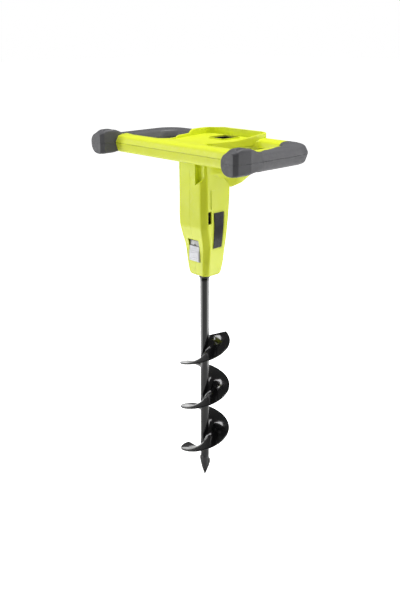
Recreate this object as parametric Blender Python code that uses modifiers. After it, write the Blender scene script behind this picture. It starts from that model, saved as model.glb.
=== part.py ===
"""Cordless soil auger: closed-loop handle, motor and gearbox column, auger bit.

Metres, +Z up.  The origin is where the auger's spin axis crosses the handle's
mid-plane, +X runs to the operator's right along the front bar and +Y towards
the battery port.  The bit hangs down -Z.
"""
import math

import bmesh
import bpy
from mathutils import Matrix, Vector

# ---- driving dimensions -------------------------------------------------
GAP = 0.0003                # clearance between pieces that touch
RUN = 0.0004                # clearance around moving pieces

HALF_WIDTH = 0.1950         # handle: axis to the outer ridge of a grip
FRONT_Y = -0.0860           # outer ridge of the front bar
REAR_Y = 0.0950             # outer ridge of the rear bar
REAR_CORNER = 0.0540        # outer radius of the rear corners
RAIL = 0.0430               # width of a side rail, ridge to ridge
FRONT_BAR = 0.0400          # depth of the front bar
REAR_BAR = 0.0430           # depth of the rear bar
DECK_HALF = 0.0590          # half width of the deck between the hand holes
TUBE_TOP = 0.0150           # top of the bars above the mid-plane
TUBE_BOTTOM = -0.0190       # underside of the bars
ROUND = 0.0120              # rounding of the bars' edges
SKIN = 0.0045               # thickness of the grip covers
WALL = 0.0030               # thickness of the plastic shells
GRIP_END_X = 0.1120         # where the covers end on the rear bar
GRIP_FRONT_Y = FRONT_Y + 0.0250     # where the covers meet the corner blocks

BLOCK_HALF = RAIL / 2 + 0.0015      # corner block, half width
BLOCK_X = HALF_WIDTH - BLOCK_HALF + 0.0030      # its centre line
BLOCK_FRONT_Y = FRONT_Y - 0.0290
BLOCK_TOP = TUBE_TOP + 0.0095
BLOCK_BOTTOM = TUBE_BOTTOM - 0.0015
BAR_END = BLOCK_X - BLOCK_HALF - 0.0005     # where the full-size front bar meets a block
BAR_REAR = FRONT_Y + FRONT_BAR              # rear edge of the front bar

TRAY_FLOOR = 0.0100         # battery tray
RIM_FRONT = 0.0160
RIM_REAR = 0.0225
RIM_WALL = 0.0040
PORT_Y = REAR_Y - 0.0430    # centre of the battery post's well
PORT_SIZE = (0.0360, 0.0400)
PORT_DEPTH = 0.0500

SEAM_Z = -0.0620            # column's top seam on the axis
SEAM_SLOPE = -0.300         # it falls towards the rear
COLUMN_BOTTOM = -0.2500
PANEL_HALF = 0.0380         # widest half width of the column

MOTOR_R = 0.0222
MOTOR_TOP = -0.0780
MOTOR_LENGTH = 0.0600
MOTOR_SHAFT_R = 0.0025
MAGNET_R = MOTOR_R - 0.0016 - GAP   # outside of what fits in the can
ROTOR_R = MAGNET_R - 0.0063

MODULE = 0.0007             # gear tooth module
SUN_TEETH = 12
PLANET_TEETH = 18
RING_TEETH = SUN_TEETH + 2 * PLANET_TEETH
GEAR_WIDTH = 0.0150
PLANETS = 3
CASE_WALL = 0.0016
CASE_TOP = MOTOR_TOP - MOTOR_LENGTH - 0.0050
GEAR_TOP = CASE_TOP - 0.0035
CASE_FLOOR = GEAR_TOP - GEAR_WIDTH - 0.0165
PLANET_ORBIT = MODULE * (SUN_TEETH + PLANET_TEETH) / 2
PIN_R = 0.0022
RING_OUTER = MODULE * RING_TEETH / 2 + 0.0022
CASE_INNER = RING_OUTER + GAP

SPINDLE_R = 0.0060
SPINDLE_END = -0.2900
BEARING_R = SPINDLE_R + 0.0065
BEARING_WIDTH = 0.0080
NOSE_R = BEARING_R + 0.0030
NOSE_BOTTOM = COLUMN_BOTTOM + 0.0070

SELECTOR_WIDTH = 0.0280
SELECTOR_HEIGHT = 0.0330
SELECTOR_TRAVEL = 0.0120
SELECTOR_FLOOR_Y = -0.0238
SELECTOR_LOW = -0.2200

SHAFT_R = SPINDLE_R + 0.0026
SHAFT_TOP = -0.2540
FLIGHT_R = 0.0510           # 4 inch bit
FLIGHT_PITCH = 0.0987
FLIGHT_THICK = 0.0025
FLIGHT_START = math.radians(797)    # angle of the top edge about +Z
FLIGHT_KNEE = math.radians(-134)    # the last part is laid flatter
FLIGHT_END = math.radians(-182)
FLIGHT_AT_ZERO = -0.5973
LIP_SLOPE = 0.6
SHAFT_BOTTOM = -0.6520
TIP_Z = -0.6977

TRIGGER_SIZE = (0.0110, 0.0500, 0.0170)
TRIGGER_Y = -0.0150
TRIGGER_TRAVEL = 0.0050
LOCK_Y = 0.0300
LOCK_TRAVEL = 0.0030
DIRECTION_X = 0.1100
DIRECTION_THROW = 0.0040

LIME = (0.72, 0.80, 0.06)
GREY = (0.10, 0.10, 0.105)
BLACK = (0.02, 0.02, 0.022)
STEEL = (0.55, 0.55, 0.56)
COPPER = (0.72, 0.38, 0.20)

COLLECTION = "soil_auger"
parts = bpy.data.collections.new(COLLECTION)
cutters = bpy.data.collections.new("cutters")


# ---- helpers ------------------------------------------------------------
def clear_scene():
    """Empty the file's scene and link the two collections."""
    for obj in list(bpy.data.objects):
        bpy.data.objects.remove(obj, do_unlink=True)
    bpy.context.scene.collection.children.link(parts)
    bpy.context.scene.collection.children.link(cutters)


def material(name, colour, roughness, metallic=0.0):
    mat = bpy.data.materials.new(name)
    mat.use_nodes = True
    shader = mat.node_tree.nodes["Principled BSDF"]
    shader.inputs["Base Color"].default_value = (*colour, 1.0)
    shader.inputs["Roughness"].default_value = roughness
    shader.inputs["Metallic"].default_value = metallic
    return mat


def from_bmesh(name, bm, cutter=False):
    """Turn a bmesh into an object in the parts' or the cutters' collection."""
    bmesh.ops.recalc_face_normals(bm, faces=bm.faces)
    mesh = bpy.data.meshes.new(name)
    bm.to_mesh(mesh)
    bm.free()
    obj = bpy.data.objects.new(name, mesh)
    if cutter:
        cutters.objects.link(obj)
        obj.hide_render = True
        obj.display_type = "WIRE"
    else:
        parts.objects.link(obj)
    return obj


def box(name, low, high, bevel=0.0, segments=2, cutter=False):
    """A cuboid between two corners, with its edges rounded when bevel is set."""
    bm = bmesh.new()
    bmesh.ops.create_cube(bm, size=1.0)
    size = Vector(high) - Vector(low)
    centre = (Vector(high) + Vector(low)) / 2
    bmesh.ops.scale(bm, vec=size, verts=bm.verts)
    bmesh.ops.translate(bm, vec=centre, verts=bm.verts)
    if bevel:
        bmesh.ops.bevel(bm, geom=bm.edges[:], offset=bevel, segments=segments,
                        profile=0.5, affect="EDGES")
    return from_bmesh(name, bm, cutter)


def cylinder(name, radius, start, end, sides=32, cutter=False, radius_end=None):
    """A round bar between two points."""
    start = Vector(start)
    end = Vector(end)
    bm = bmesh.new()
    top_radius = radius if radius_end is None else radius_end
    bmesh.ops.create_cone(bm, cap_ends=True, segments=sides, radius1=radius,
                          radius2=top_radius, depth=(end - start).length)
    turn = Vector((0, 0, 1)).rotation_difference(end - start).to_matrix().to_4x4()
    bmesh.ops.transform(bm, matrix=Matrix.Translation((start + end) / 2) @ turn, verts=bm.verts)
    return from_bmesh(name, bm, cutter)


def turned(name, profile, steps=36, closed=True, cutter=False):
    """Turn a profile of (radius, z) points about Z with a Screw modifier."""
    bm = bmesh.new()
    verts = [bm.verts.new((r, 0, z)) for r, z in profile]
    for a, b in zip(verts, verts[1:]):
        bm.edges.new((a, b))
    if closed:
        bm.edges.new((verts[-1], verts[0]))
    mesh = bpy.data.meshes.new(name)
    bm.to_mesh(mesh)
    bm.free()
    obj = bpy.data.objects.new(name, mesh)
    (cutters if cutter else parts).objects.link(obj)
    screw = obj.modifiers.new("turn", "SCREW")
    screw.steps = steps
    screw.render_steps = steps
    screw.use_merge_vertices = True
    screw.merge_threshold = 0.00001
    return bake(obj)


def bake(obj):
    """Replace an object by its evaluated mesh, with doubles welded."""
    graph = bpy.context.evaluated_depsgraph_get()
    mesh = bpy.data.meshes.new_from_object(obj.evaluated_get(graph))
    bm = bmesh.new()
    bm.from_mesh(mesh)
    bmesh.ops.remove_doubles(bm, verts=bm.verts, dist=0.000005)
    bmesh.ops.recalc_face_normals(bm, faces=bm.faces)
    bm.to_mesh(mesh)
    bm.free()
    name = obj.name
    collection = obj.users_collection[0]
    hidden = obj.hide_render
    bpy.data.objects.remove(obj, do_unlink=True)
    new = bpy.data.objects.new(name, mesh)
    collection.objects.link(new)
    if hidden or collection == cutters:
        new.hide_render = True
        new.display_type = "WIRE"
    return new


def plate(name, loops, low, high, bevel=0.0, resolution=1, cutter=False):
    """Extrude flat loops between two heights; the nominal outline is at mid-height."""
    curve = bpy.data.curves.new(name, "CURVE")
    curve.dimensions = "2D"
    curve.fill_mode = "BOTH"
    curve.extrude = (high - low) / 2 - bevel
    curve.bevel_depth = bevel
    curve.bevel_resolution = resolution
    for loop in loops:
        spline = curve.splines.new("POLY")
        spline.points.add(len(loop) - 1)
        spline.use_cyclic_u = True
        for point, (x, y) in zip(spline.points, loop):
            point.co = (x, y, 0, 1)
    obj = bpy.data.objects.new(name, curve)
    obj.location.z = (high + low) / 2
    (cutters if cutter else parts).objects.link(obj)
    bpy.context.view_layer.update()
    placed = obj.matrix_world.copy()
    new = bake(obj)
    new.matrix_world = placed
    return new


def loft(name, rings, cutter=False):
    """Skin a stack of rings that have equal point counts, and cap both ends."""
    bm = bmesh.new()
    rows = [[bm.verts.new(p) for p in ring] for ring in rings]
    for a, b in zip(rows, rows[1:]):
        count = len(a)
        for i in range(count):
            j = (i + 1) % count
            bm.faces.new((a[i], a[j], b[j], b[i]))
    bm.faces.new(rows[0])
    bm.faces.new(rows[-1])
    bmesh.ops.triangulate(bm, faces=bm.faces)
    return from_bmesh(name, bm, cutter)


def wire(name, points, radius):
    """A round lead through points, made a mesh with welded caps."""
    curve = bpy.data.curves.new(name, "CURVE")
    curve.dimensions = "3D"
    curve.bevel_depth = radius
    curve.bevel_resolution = 1
    curve.use_fill_caps = True
    spline = curve.splines.new("POLY")
    spline.points.add(len(points) - 1)
    for point, co in zip(spline.points, points):
        point.co = (*co, 1)
    obj = bpy.data.objects.new(name, curve)
    parts.objects.link(obj)
    return bake(obj)


def boolean(obj, other, operation):
    """Apply one exact boolean and keep the operand with the cutters."""
    mod = obj.modifiers.new(operation.lower(), "BOOLEAN")
    mod.operation = operation
    mod.object = other
    placed = obj.matrix_world.copy()
    graph = bpy.context.evaluated_depsgraph_get()
    mesh = bpy.data.meshes.new_from_object(obj.evaluated_get(graph))
    obj.modifiers.clear()
    old = obj.data
    obj.data = mesh
    obj.matrix_world = placed
    bpy.data.meshes.remove(old)
    if other.name not in cutters.objects:
        for collection in other.users_collection:
            collection.objects.unlink(other)
        cutters.objects.link(other)
    other.hide_render = True
    other.display_type = "WIRE"
    return obj


def cut(obj, *others):
    for other in others:
        boolean(obj, other, "DIFFERENCE")
    return obj


def join(obj, *others):
    for other in others:
        boolean(obj, other, "UNION")
    return obj


def keep(obj, *others):
    for other in others:
        boolean(obj, other, "INTERSECT")
    return obj


def copy(obj, name):
    new = bpy.data.objects.new(name, obj.data.copy())
    new.matrix_world = obj.matrix_world.copy()
    parts.objects.link(new)
    return new


def dress(obj, mat):
    """Give a finished part its one material and smooth round faces."""
    obj.data.materials.clear()
    obj.data.materials.append(mat)
    obj.data.shade_smooth()
    obj.data.set_sharp_from_angle(angle=math.radians(35))
    return obj


def arc_loop(low, high, radii, steps=4):
    """A rectangle with its own radius at each corner (+X+Y, -X+Y, -X-Y, +X-Y)."""
    x0, y0 = low
    x1, y1 = high
    corners = ((x1, y1, 0), (x0, y1, 90), (x0, y0, 180), (x1, y0, 270))
    points = []
    for (x, y, start), radius in zip(corners, radii):
        sx = 1 if x == x1 else -1
        sy = 1 if y == y1 else -1
        cx = x - sx * radius
        cy = y - sy * radius
        for k in range(steps + 1):
            angle = math.radians(start + 90 * k / steps)
            points.append((cx + radius * math.cos(angle), cy + radius * math.sin(angle)))
    return points


# ---- handle -------------------------------------------------------------
def frame_loops(inset):
    """The handle's plan: one outer loop and two hand holes, moved in by inset."""
    outer = arc_loop((-HALF_WIDTH + inset, FRONT_Y + inset), (HALF_WIDTH - inset, REAR_Y - inset),
                     (REAR_CORNER - inset, REAR_CORNER - inset, 0.006, 0.006), steps=6)
    hole_in = DECK_HALF - inset
    hole_out = HALF_WIDTH - RAIL + inset
    hole_front = FRONT_Y + FRONT_BAR - inset
    hole_rear = REAR_Y - REAR_BAR + inset
    radii = (0.030 + inset, 0.012 + inset, 0.012 + inset, 0.014 + inset)
    right = arc_loop((hole_in, hole_front), (hole_out, hole_rear), radii, steps=3)
    left = [(-x, y) for x, y in right]
    return [outer, right, left]


def frame_solid(name, inset, cutter=False):
    """The whole handle ring as one rounded solid, inset on every side."""
    rounding = ROUND - inset * 0.5
    return plate(name, frame_loops(inset + rounding), TUBE_BOTTOM + inset, TUBE_TOP - inset,
                 bevel=rounding, resolution=1, cutter=cutter)


def half_space(name, z, above):
    """A large box above or below a level, with half a gap taken off."""
    if above:
        return box(name, (-0.5, -0.5, z + GAP / 2), (0.5, 0.5, 0.5), cutter=True)
    return box(name, (-0.5, -0.5, -0.5), (0.5, 0.5, z - GAP / 2), cutter=True)


def middle_zone(name, grow=0.0):
    """Where the shells are full size: the front bar, the deck and the rear bar's middle."""
    bar = BAR_END + grow
    front = box(name, (-bar, FRONT_Y - 0.1, -0.1), (bar, BAR_REAR + 0.0060, 0.1), cutter=True)
    rear = box(name + "_rear", (-GRIP_END_X - grow, BAR_REAR - 0.0040, -0.1),
               (GRIP_END_X + grow, REAR_Y + 0.1, 0.1), cutter=True)
    return join(front, rear)


def underbody_rings(inset):
    """Sections of the lower shell's pod, from the column's seam up to the bars."""
    def ring(z_front, z_rear, half, front, rear, radius):
        loop = arc_loop((-half + inset, front + inset), (half - inset, rear - inset),
                        (radius,) * 4, steps=2)
        span = rear - front
        return [(x, y, z_front + (z_rear - z_front) * (y - front) / span) for x, y in loop]
    seam_front = SEAM_Z + SEAM_SLOPE * -PANEL_HALF
    seam_rear = SEAM_Z + SEAM_SLOPE * PANEL_HALF
    lift = GAP if inset == 0 else -0.004
    return [
        ring(seam_front + lift, seam_rear + lift, PANEL_HALF, -PANEL_HALF, PANEL_HALF, 0.008),
        ring(-0.0440, -0.0560, 0.0430, -0.0430, REAR_Y - 0.0150, 0.010),
        ring(-0.0300, -0.0360, DECK_HALF - 0.0060, -0.0540, REAR_Y - 0.0060, 0.012),
        ring(-0.0120, -0.0120, DECK_HALF - 0.0030, -0.0640, REAR_Y - 0.0060, 0.012),
    ]


def bar_hollow(name):
    """The room inside the bars: thin walls in the middle, thicker under the grips."""
    room = frame_solid(f"bar_room_{name}", WALL, cutter=True)
    keep(room, middle_zone(f"bar_room_zone_{name}", -0.0060))
    return join(frame_solid(f"rail_room_{name}", SKIN + WALL, cutter=True), room)


def make_shells():
    """Upper and lower handle shells, parted at the mid-plane."""
    full = frame_solid("frame_full", 0.0, cutter=True)
    core = frame_solid("frame_core", SKIN + GAP)
    keep(full, middle_zone("middle_zone"))
    shell = join(core, full)

    upper = copy(shell, "handle_upper_shell")
    upper = keep(upper, half_space("above_mid", 0.0, True))
    half = DECK_HALF + 0.0010
    front = BAR_REAR - 0.0040
    rear = REAR_Y + 0.0010
    rim = plate("rim_wall", [arc_loop((-half, front), (half, rear), (0.020,) * 4)],
                0.0040, 0.0300, cutter=True)
    lean = math.atan2(RIM_REAR - RIM_FRONT, rear - front)
    lid = box("rim_slope", (-0.2, -0.2, 0.0), (0.2, 0.2, 0.1), cutter=True)
    lid.matrix_world = Matrix.Translation((0, front, RIM_FRONT)) @ Matrix.Rotation(lean, 4, "X")
    cut(rim, lid)
    join(upper, rim)
    half -= RIM_WALL
    front += RIM_WALL
    rear -= RIM_WALL
    tray = plate("tray_cut", [arc_loop((-half, front), (half, rear), (0.016,) * 4)],
                 TRAY_FLOOR, 0.0500, cutter=True)
    cut(upper, tray)
    cut(upper, bar_hollow("upper"))
    under_deck = box("under_deck", (-half + 0.0020, front + 0.0030, -0.010),
                     (half - 0.0020, rear - 0.0030, TRAY_FLOOR - WALL), cutter=True)
    cut(upper, under_deck)
    floor = box("tray_floor", (-half - 0.0010, front - 0.0020, TRAY_FLOOR - WALL),
                (half + 0.0010, rear + 0.0010, TRAY_FLOOR), cutter=True)
    join(upper, floor)

    lower = shell
    lower.name = "handle_lower_shell"
    keep(lower, half_space("below_mid", 0.0, False))
    pod = loft("pod", underbody_rings(0.0), cutter=True)
    join(lower, pod)
    cut(lower, bar_hollow("lower"))
    pod_hollow = loft("pod_hollow", underbody_rings(WALL)[:3] +
                      [[(x, y, 0.010) for x, y, _ in underbody_rings(WALL)[3]]], cutter=True)
    cut(lower, pod_hollow)
    return upper, lower


def make_grips(upper, lower):
    """Grip covers over both side rails and rear corners, parted at the mid-plane."""
    made = []
    for side, sign in (("right", 1), ("left", -1)):
        whole = frame_solid("grip_" + side, 0.0)
        core = frame_solid("grip_core_" + side, SKIN, cutter=True)
        cut(whole, core)
        zone = box("grip_zone_" + side, (min(sign * (GRIP_END_X + GAP), sign * 0.3), GRIP_FRONT_Y, -0.1),
                   (max(sign * (GRIP_END_X + GAP), sign * 0.3), 0.3, 0.1), cutter=True)
        cut(zone, middle_zone("grip_limit_" + side, GAP))
        keep(whole, zone)
        bottom = copy(whole, f"grip_{side}_lower")
        whole.name = f"grip_{side}_upper"
        keep(whole, half_space(f"grip_above_{side}", 0.0, True))
        keep(bottom, half_space(f"grip_below_{side}", 0.0, False))
        made += [whole, bottom]
    return made


def block_section(y, inset):
    """The corner block's outline in XZ: a flat on its +X side, a round belly on -X."""
    top = BLOCK_TOP - inset
    bottom = BLOCK_BOTTOM + inset
    half = BLOCK_HALF - inset
    points = []
    for k in range(9):
        angle = math.radians(90 + 180 * k / 8)
        rise = math.sin(angle)
        height = top if rise > 0 else -bottom
        points.append((-half * 0.1 + half * 0.9 * math.cos(angle), height * rise))
    chamfer = 0.006
    points += [(half - chamfer * 0.5, bottom), (half, bottom + chamfer), (half, top - chamfer),
               (half - chamfer * 0.5, top)]
    return [(BLOCK_X + x, y, z) for x, z in points]


def make_blocks():
    """Corner blocks in front of the grips; one moulding serves both sides."""
    made = []
    for side, shift in (("right", 0.0), ("left", -2 * BLOCK_X)):
        rings = [block_section(BLOCK_FRONT_Y, 0.0015), block_section(BLOCK_FRONT_Y + 0.0015, 0.0),
                 block_section(BLOCK_FRONT_Y + 0.0350, 0.0), block_section(GRIP_FRONT_Y - GAP, 0.0060)]
        whole = loft("corner_block_" + side, [[(x + shift, y, z) for x, y, z in r] for r in rings])
        edge = BLOCK_X + shift + BLOCK_HALF
        wedge = box("block_edge_" + side, (-0.01, -0.01, -0.1), (0.01, 0.01, 0.1), cutter=True)
        wedge.matrix_world = (Matrix.Translation((edge + 0.0036, BLOCK_FRONT_Y - 0.0036, 0))
                              @ Matrix.Rotation(math.radians(45), 4, "Z"))
        cut(whole, wedge)
        core = frame_solid("block_core_" + side, SKIN, cutter=True)
        cut(whole, core)
        bar = frame_solid("block_bar_" + side, -GAP, cutter=True)
        keep(bar, middle_zone("block_bar_zone_" + side, GAP))
        cut(whole, bar)
        dimple_x = BLOCK_X + shift + 0.008
        dimple_y = BLOCK_FRONT_Y + 0.0200
        dimple = plate("dimple_" + side, [arc_loop((dimple_x - 0.007, dimple_y - 0.012),
                                                   (dimple_x + 0.007, dimple_y + 0.012), (0.0065,) * 4)],
                       BLOCK_TOP - 0.0016, 0.05, cutter=True)
        cut(whole, dimple)
        bottom = copy(whole, f"corner_block_{side}_lower")
        whole.name = f"corner_block_{side}_upper"
        keep(whole, half_space(f"block_above_{side}", 0.0, True))
        keep(bottom, half_space(f"block_below_{side}", 0.0, False))
        made += [whole, bottom]
    return made


# ---- column -------------------------------------------------------------
# height, half width in X, front half depth, rear half depth, corner chamfer
COLUMN_LEVELS = (
    (-0.0450, 0.0370, 0.0380, 0.0386, 0.0090),
    (-0.0880, 0.0372, 0.0378, 0.0386, 0.0090),
    (-0.1260, PANEL_HALF, 0.0380, 0.0350, 0.0090),
    (-0.1460, 0.0378, 0.0372, 0.0330, 0.0092),
    (-0.1690, 0.0361, 0.0315, 0.0322, 0.0094),
    (-0.1830, 0.0342, 0.0276, 0.0316, 0.0094),
    (-0.1940, 0.0328, 0.0262, 0.0306, 0.0092),
    (-0.2190, 0.0288, 0.0248, 0.0290, 0.0086),
    (-0.2400, 0.0246, 0.0236, 0.0246, 0.0074),
    (COLUMN_BOTTOM, 0.0190, 0.0190, 0.0190, 0.0070),
)


def column_ring(level, inset, z=None):
    height, half, front, rear, chamfer = level
    half -= inset
    front -= inset
    rear -= inset
    c = chamfer - inset * 0.4
    z = height if z is None else z
    return [(half, -front + c, z), (half, rear - c, z), (half - c, rear, z), (-half + c, rear, z),
            (-half, rear - c, z), (-half, -front + c, z), (-half + c, -front, z), (half - c, -front, z)]


def side_x(z):
    """Half width of the column's side panel at a height."""
    for (z0, h0, *_), (z1, h1, *_) in zip(COLUMN_LEVELS, COLUMN_LEVELS[1:]):
        if z1 <= z <= z0:
            return h0 + (h1 - h0) * (z - z0) / (z1 - z0)
    return COLUMN_LEVELS[-1][1]


SCREW_PLACES = ((-MOTOR_R - 0.0058, -0.0800), (MOTOR_R + 0.0058, -0.0800), (NOSE_R + 0.0070, -0.2150))


def make_column():
    """Two clamshell halves parted on X = 0, with the selector's recess and the vents."""
    shell = loft("column", [column_ring(level, 0.0) for level in COLUMN_LEVELS])
    inner = [column_ring(level, WALL) for level in COLUMN_LEVELS]
    inner[0] = column_ring(COLUMN_LEVELS[0], WALL, -0.0300)
    inner[-1] = column_ring(COLUMN_LEVELS[-1], WALL, COLUMN_BOTTOM + 0.0030)
    cut(shell, loft("column_hollow", inner, cutter=True))
    seam = box("seam_cut", (-0.2, -0.2, 0.0), (0.2, 0.2, 0.2), cutter=True)
    seam.matrix_world = (Matrix.Translation((0, 0, SEAM_Z))
                         @ Matrix.Rotation(math.atan(SEAM_SLOPE), 4, "X"))
    cut(shell, seam)
    top = SELECTOR_LOW + SELECTOR_HEIGHT + SELECTOR_TRAVEL + RUN
    width = SELECTOR_WIDTH / 2 + RUN
    pocket_back = box("selector_back", (-width - 0.002, SELECTOR_FLOOR_Y - 0.001, SELECTOR_LOW - 0.003),
                      (width + 0.002, SELECTOR_FLOOR_Y + 0.0018, top + 0.002))
    join(shell, pocket_back)
    pocket = box("selector_pocket", (-width, -0.1, SELECTOR_LOW - RUN),
                 (width, SELECTOR_FLOOR_Y, top), cutter=True)
    slot = box("selector_slot", (-0.0030, -0.1, -0.2080), (0.0030, -0.0180, -0.1830), cutter=True)
    mouth = cylinder("shaft_mouth", 0.0112, (0, 0, COLUMN_BOTTOM - 0.01), (0, 0, COLUMN_BOTTOM + 0.02),
                     cutter=True)
    cut(shell, pocket, slot, mouth)
    for sign in (-1, 1):
        slit = box(f"vent_slit_{sign}", (sign * 0.05 - 0.02, -0.0200, -0.1110),
                   (sign * 0.05 + 0.02, -0.0182, -0.0750), cutter=True)
        wide = box(f"vent_wide_{sign}", (sign * 0.05 - 0.02, -0.0270, -0.1380),
                   (sign * 0.05 + 0.02, -0.0180, -0.1145), cutter=True)
        cut(shell, slit, wide)
    for y, z in SCREW_PLACES:
        pillar = cylinder("pillar", 0.0036, (-side_x(z) + 0.0006, y, z), (side_x(z) - 0.0006, y, z), sides=12)
        join(shell, pillar)
        well = cylinder("screw_well", 0.0016, (-0.1, y, z), (0.0160, y, z), sides=12, cutter=True)
        head = cylinder("head_well", 0.0030, (-0.1, y, z), (-side_x(z) + 0.0030, y, z), sides=12,
                        cutter=True)
        cut(shell, well, head)
    left = copy(shell, "housing_left")
    shell.name = "housing_right"
    keep(shell, box("right_half", (GAP / 2, -0.2, -0.4), (0.2, 0.2, 0.1), cutter=True))
    keep(left, box("left_half", (-0.2, -0.2, -0.4), (-GAP / 2, 0.2, 0.1), cutter=True))
    return left, shell


def make_badges():
    """Blank name plates set on both side panels."""
    made = []
    for side, sign in (("right", 1), ("left", -1)):
        rings = []
        for k in range(9):
            z = -0.1180 - 0.0700 * k / 8
            x = side_x(z) + GAP
            lean = 0.0022 * k / 8
            y0 = -0.0125 + lean
            y1 = 0.0140 - lean
            rings.append([(sign * x, y0, z), (sign * x, y1, z), (sign * (x + 0.0010), y1, z),
                          (sign * (x + 0.0010), y0, z)])
        made.append(loft("name_plate_" + side, rings))
    return made


def make_vent_grilles():
    """Louvred inserts behind the wide vents."""
    made = []
    for side, sign in (("right", 1), ("left", -1)):
        x = 0.0330
        low = (min(sign * x, sign * (x - 0.0015)), -0.0262, -0.1372)
        high = (max(sign * x, sign * (x - 0.0015)), -0.0188, -0.1153)
        grille = box("vent_grille_" + side, low, high)
        for k in range(4):
            z = -0.1340 + 0.0050 * k
            cut(grille, box("louvre", (-0.1, -0.0250, z), (0.1, -0.0200, z + 0.0022), cutter=True))
        made.append(grille)
    return made


# ---- drive --------------------------------------------------------------
def gear_loop(teeth, phase, centre=(0.0, 0.0), internal=False):
    """Trapezoid teeth: tips at one module outside the pitch line, roots inside it."""
    pitch = MODULE * teeth / 2
    tip = pitch - MODULE * 0.75 if internal else pitch + MODULE * 0.75
    root = pitch + MODULE * 1.10 if internal else pitch - MODULE * 1.10
    step = 2 * math.pi / teeth
    points = []
    for k in range(teeth):
        middle = phase + k * step
        for offset, radius in ((-0.27, root), (-0.10, tip), (0.10, tip), (0.27, root)):
            angle = middle + offset * step
            points.append((centre[0] + radius * math.cos(angle), centre[1] + radius * math.sin(angle)))
    return points


def circle_loop(radius, centre=(0.0, 0.0), count=20):
    return [(centre[0] + radius * math.cos(2 * math.pi * k / count),
             centre[1] + radius * math.sin(2 * math.pi * k / count)) for k in range(count)]


def planet_place(index):
    """Centre angle and phase that put a planet in mesh with the sun and the ring."""
    angle = 2 * math.pi * index / PLANETS
    phase = angle + math.pi - (math.pi - SUN_TEETH * angle) / PLANET_TEETH
    return angle, phase


def make_gears():
    """Ring gear and planets, teeth in mesh at rest."""
    low = GEAR_TOP - GEAR_WIDTH
    ring = plate("ring_gear", [circle_loop(RING_OUTER, count=48),
                               gear_loop(RING_TEETH, 0.0, internal=True)], low - 0.0015, GEAR_TOP + 0.0005)
    planets = []
    for index in range(PLANETS):
        angle, phase = planet_place(index)
        centre = (PLANET_ORBIT * math.cos(angle), PLANET_ORBIT * math.sin(angle))
        planets.append(plate(f"planet_gear_{index + 1}",
                             [gear_loop(PLANET_TEETH, phase, centre),
                              circle_loop(PIN_R + RUN, centre, 16)], low, GEAR_TOP))
    return [ring] + planets


def sun_gear(name, top, low):
    return plate(name, [gear_loop(SUN_TEETH, 0.0)], low, top)


def carrier(name, top, bottom, radius, pins_top):
    """A carrier disc with its three planet pins."""
    disc = cylinder(name, radius, (0, 0, bottom), (0, 0, top), sides=36)
    for index in range(PLANETS):
        angle = 2 * math.pi * index / PLANETS
        x = PLANET_ORBIT * math.cos(angle)
        y = PLANET_ORBIT * math.sin(angle)
        pin = cylinder("pin", PIN_R, (x, y, bottom + 0.0005), (x, y, pins_top), sides=16)
        join(disc, pin)
    return disc


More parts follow.
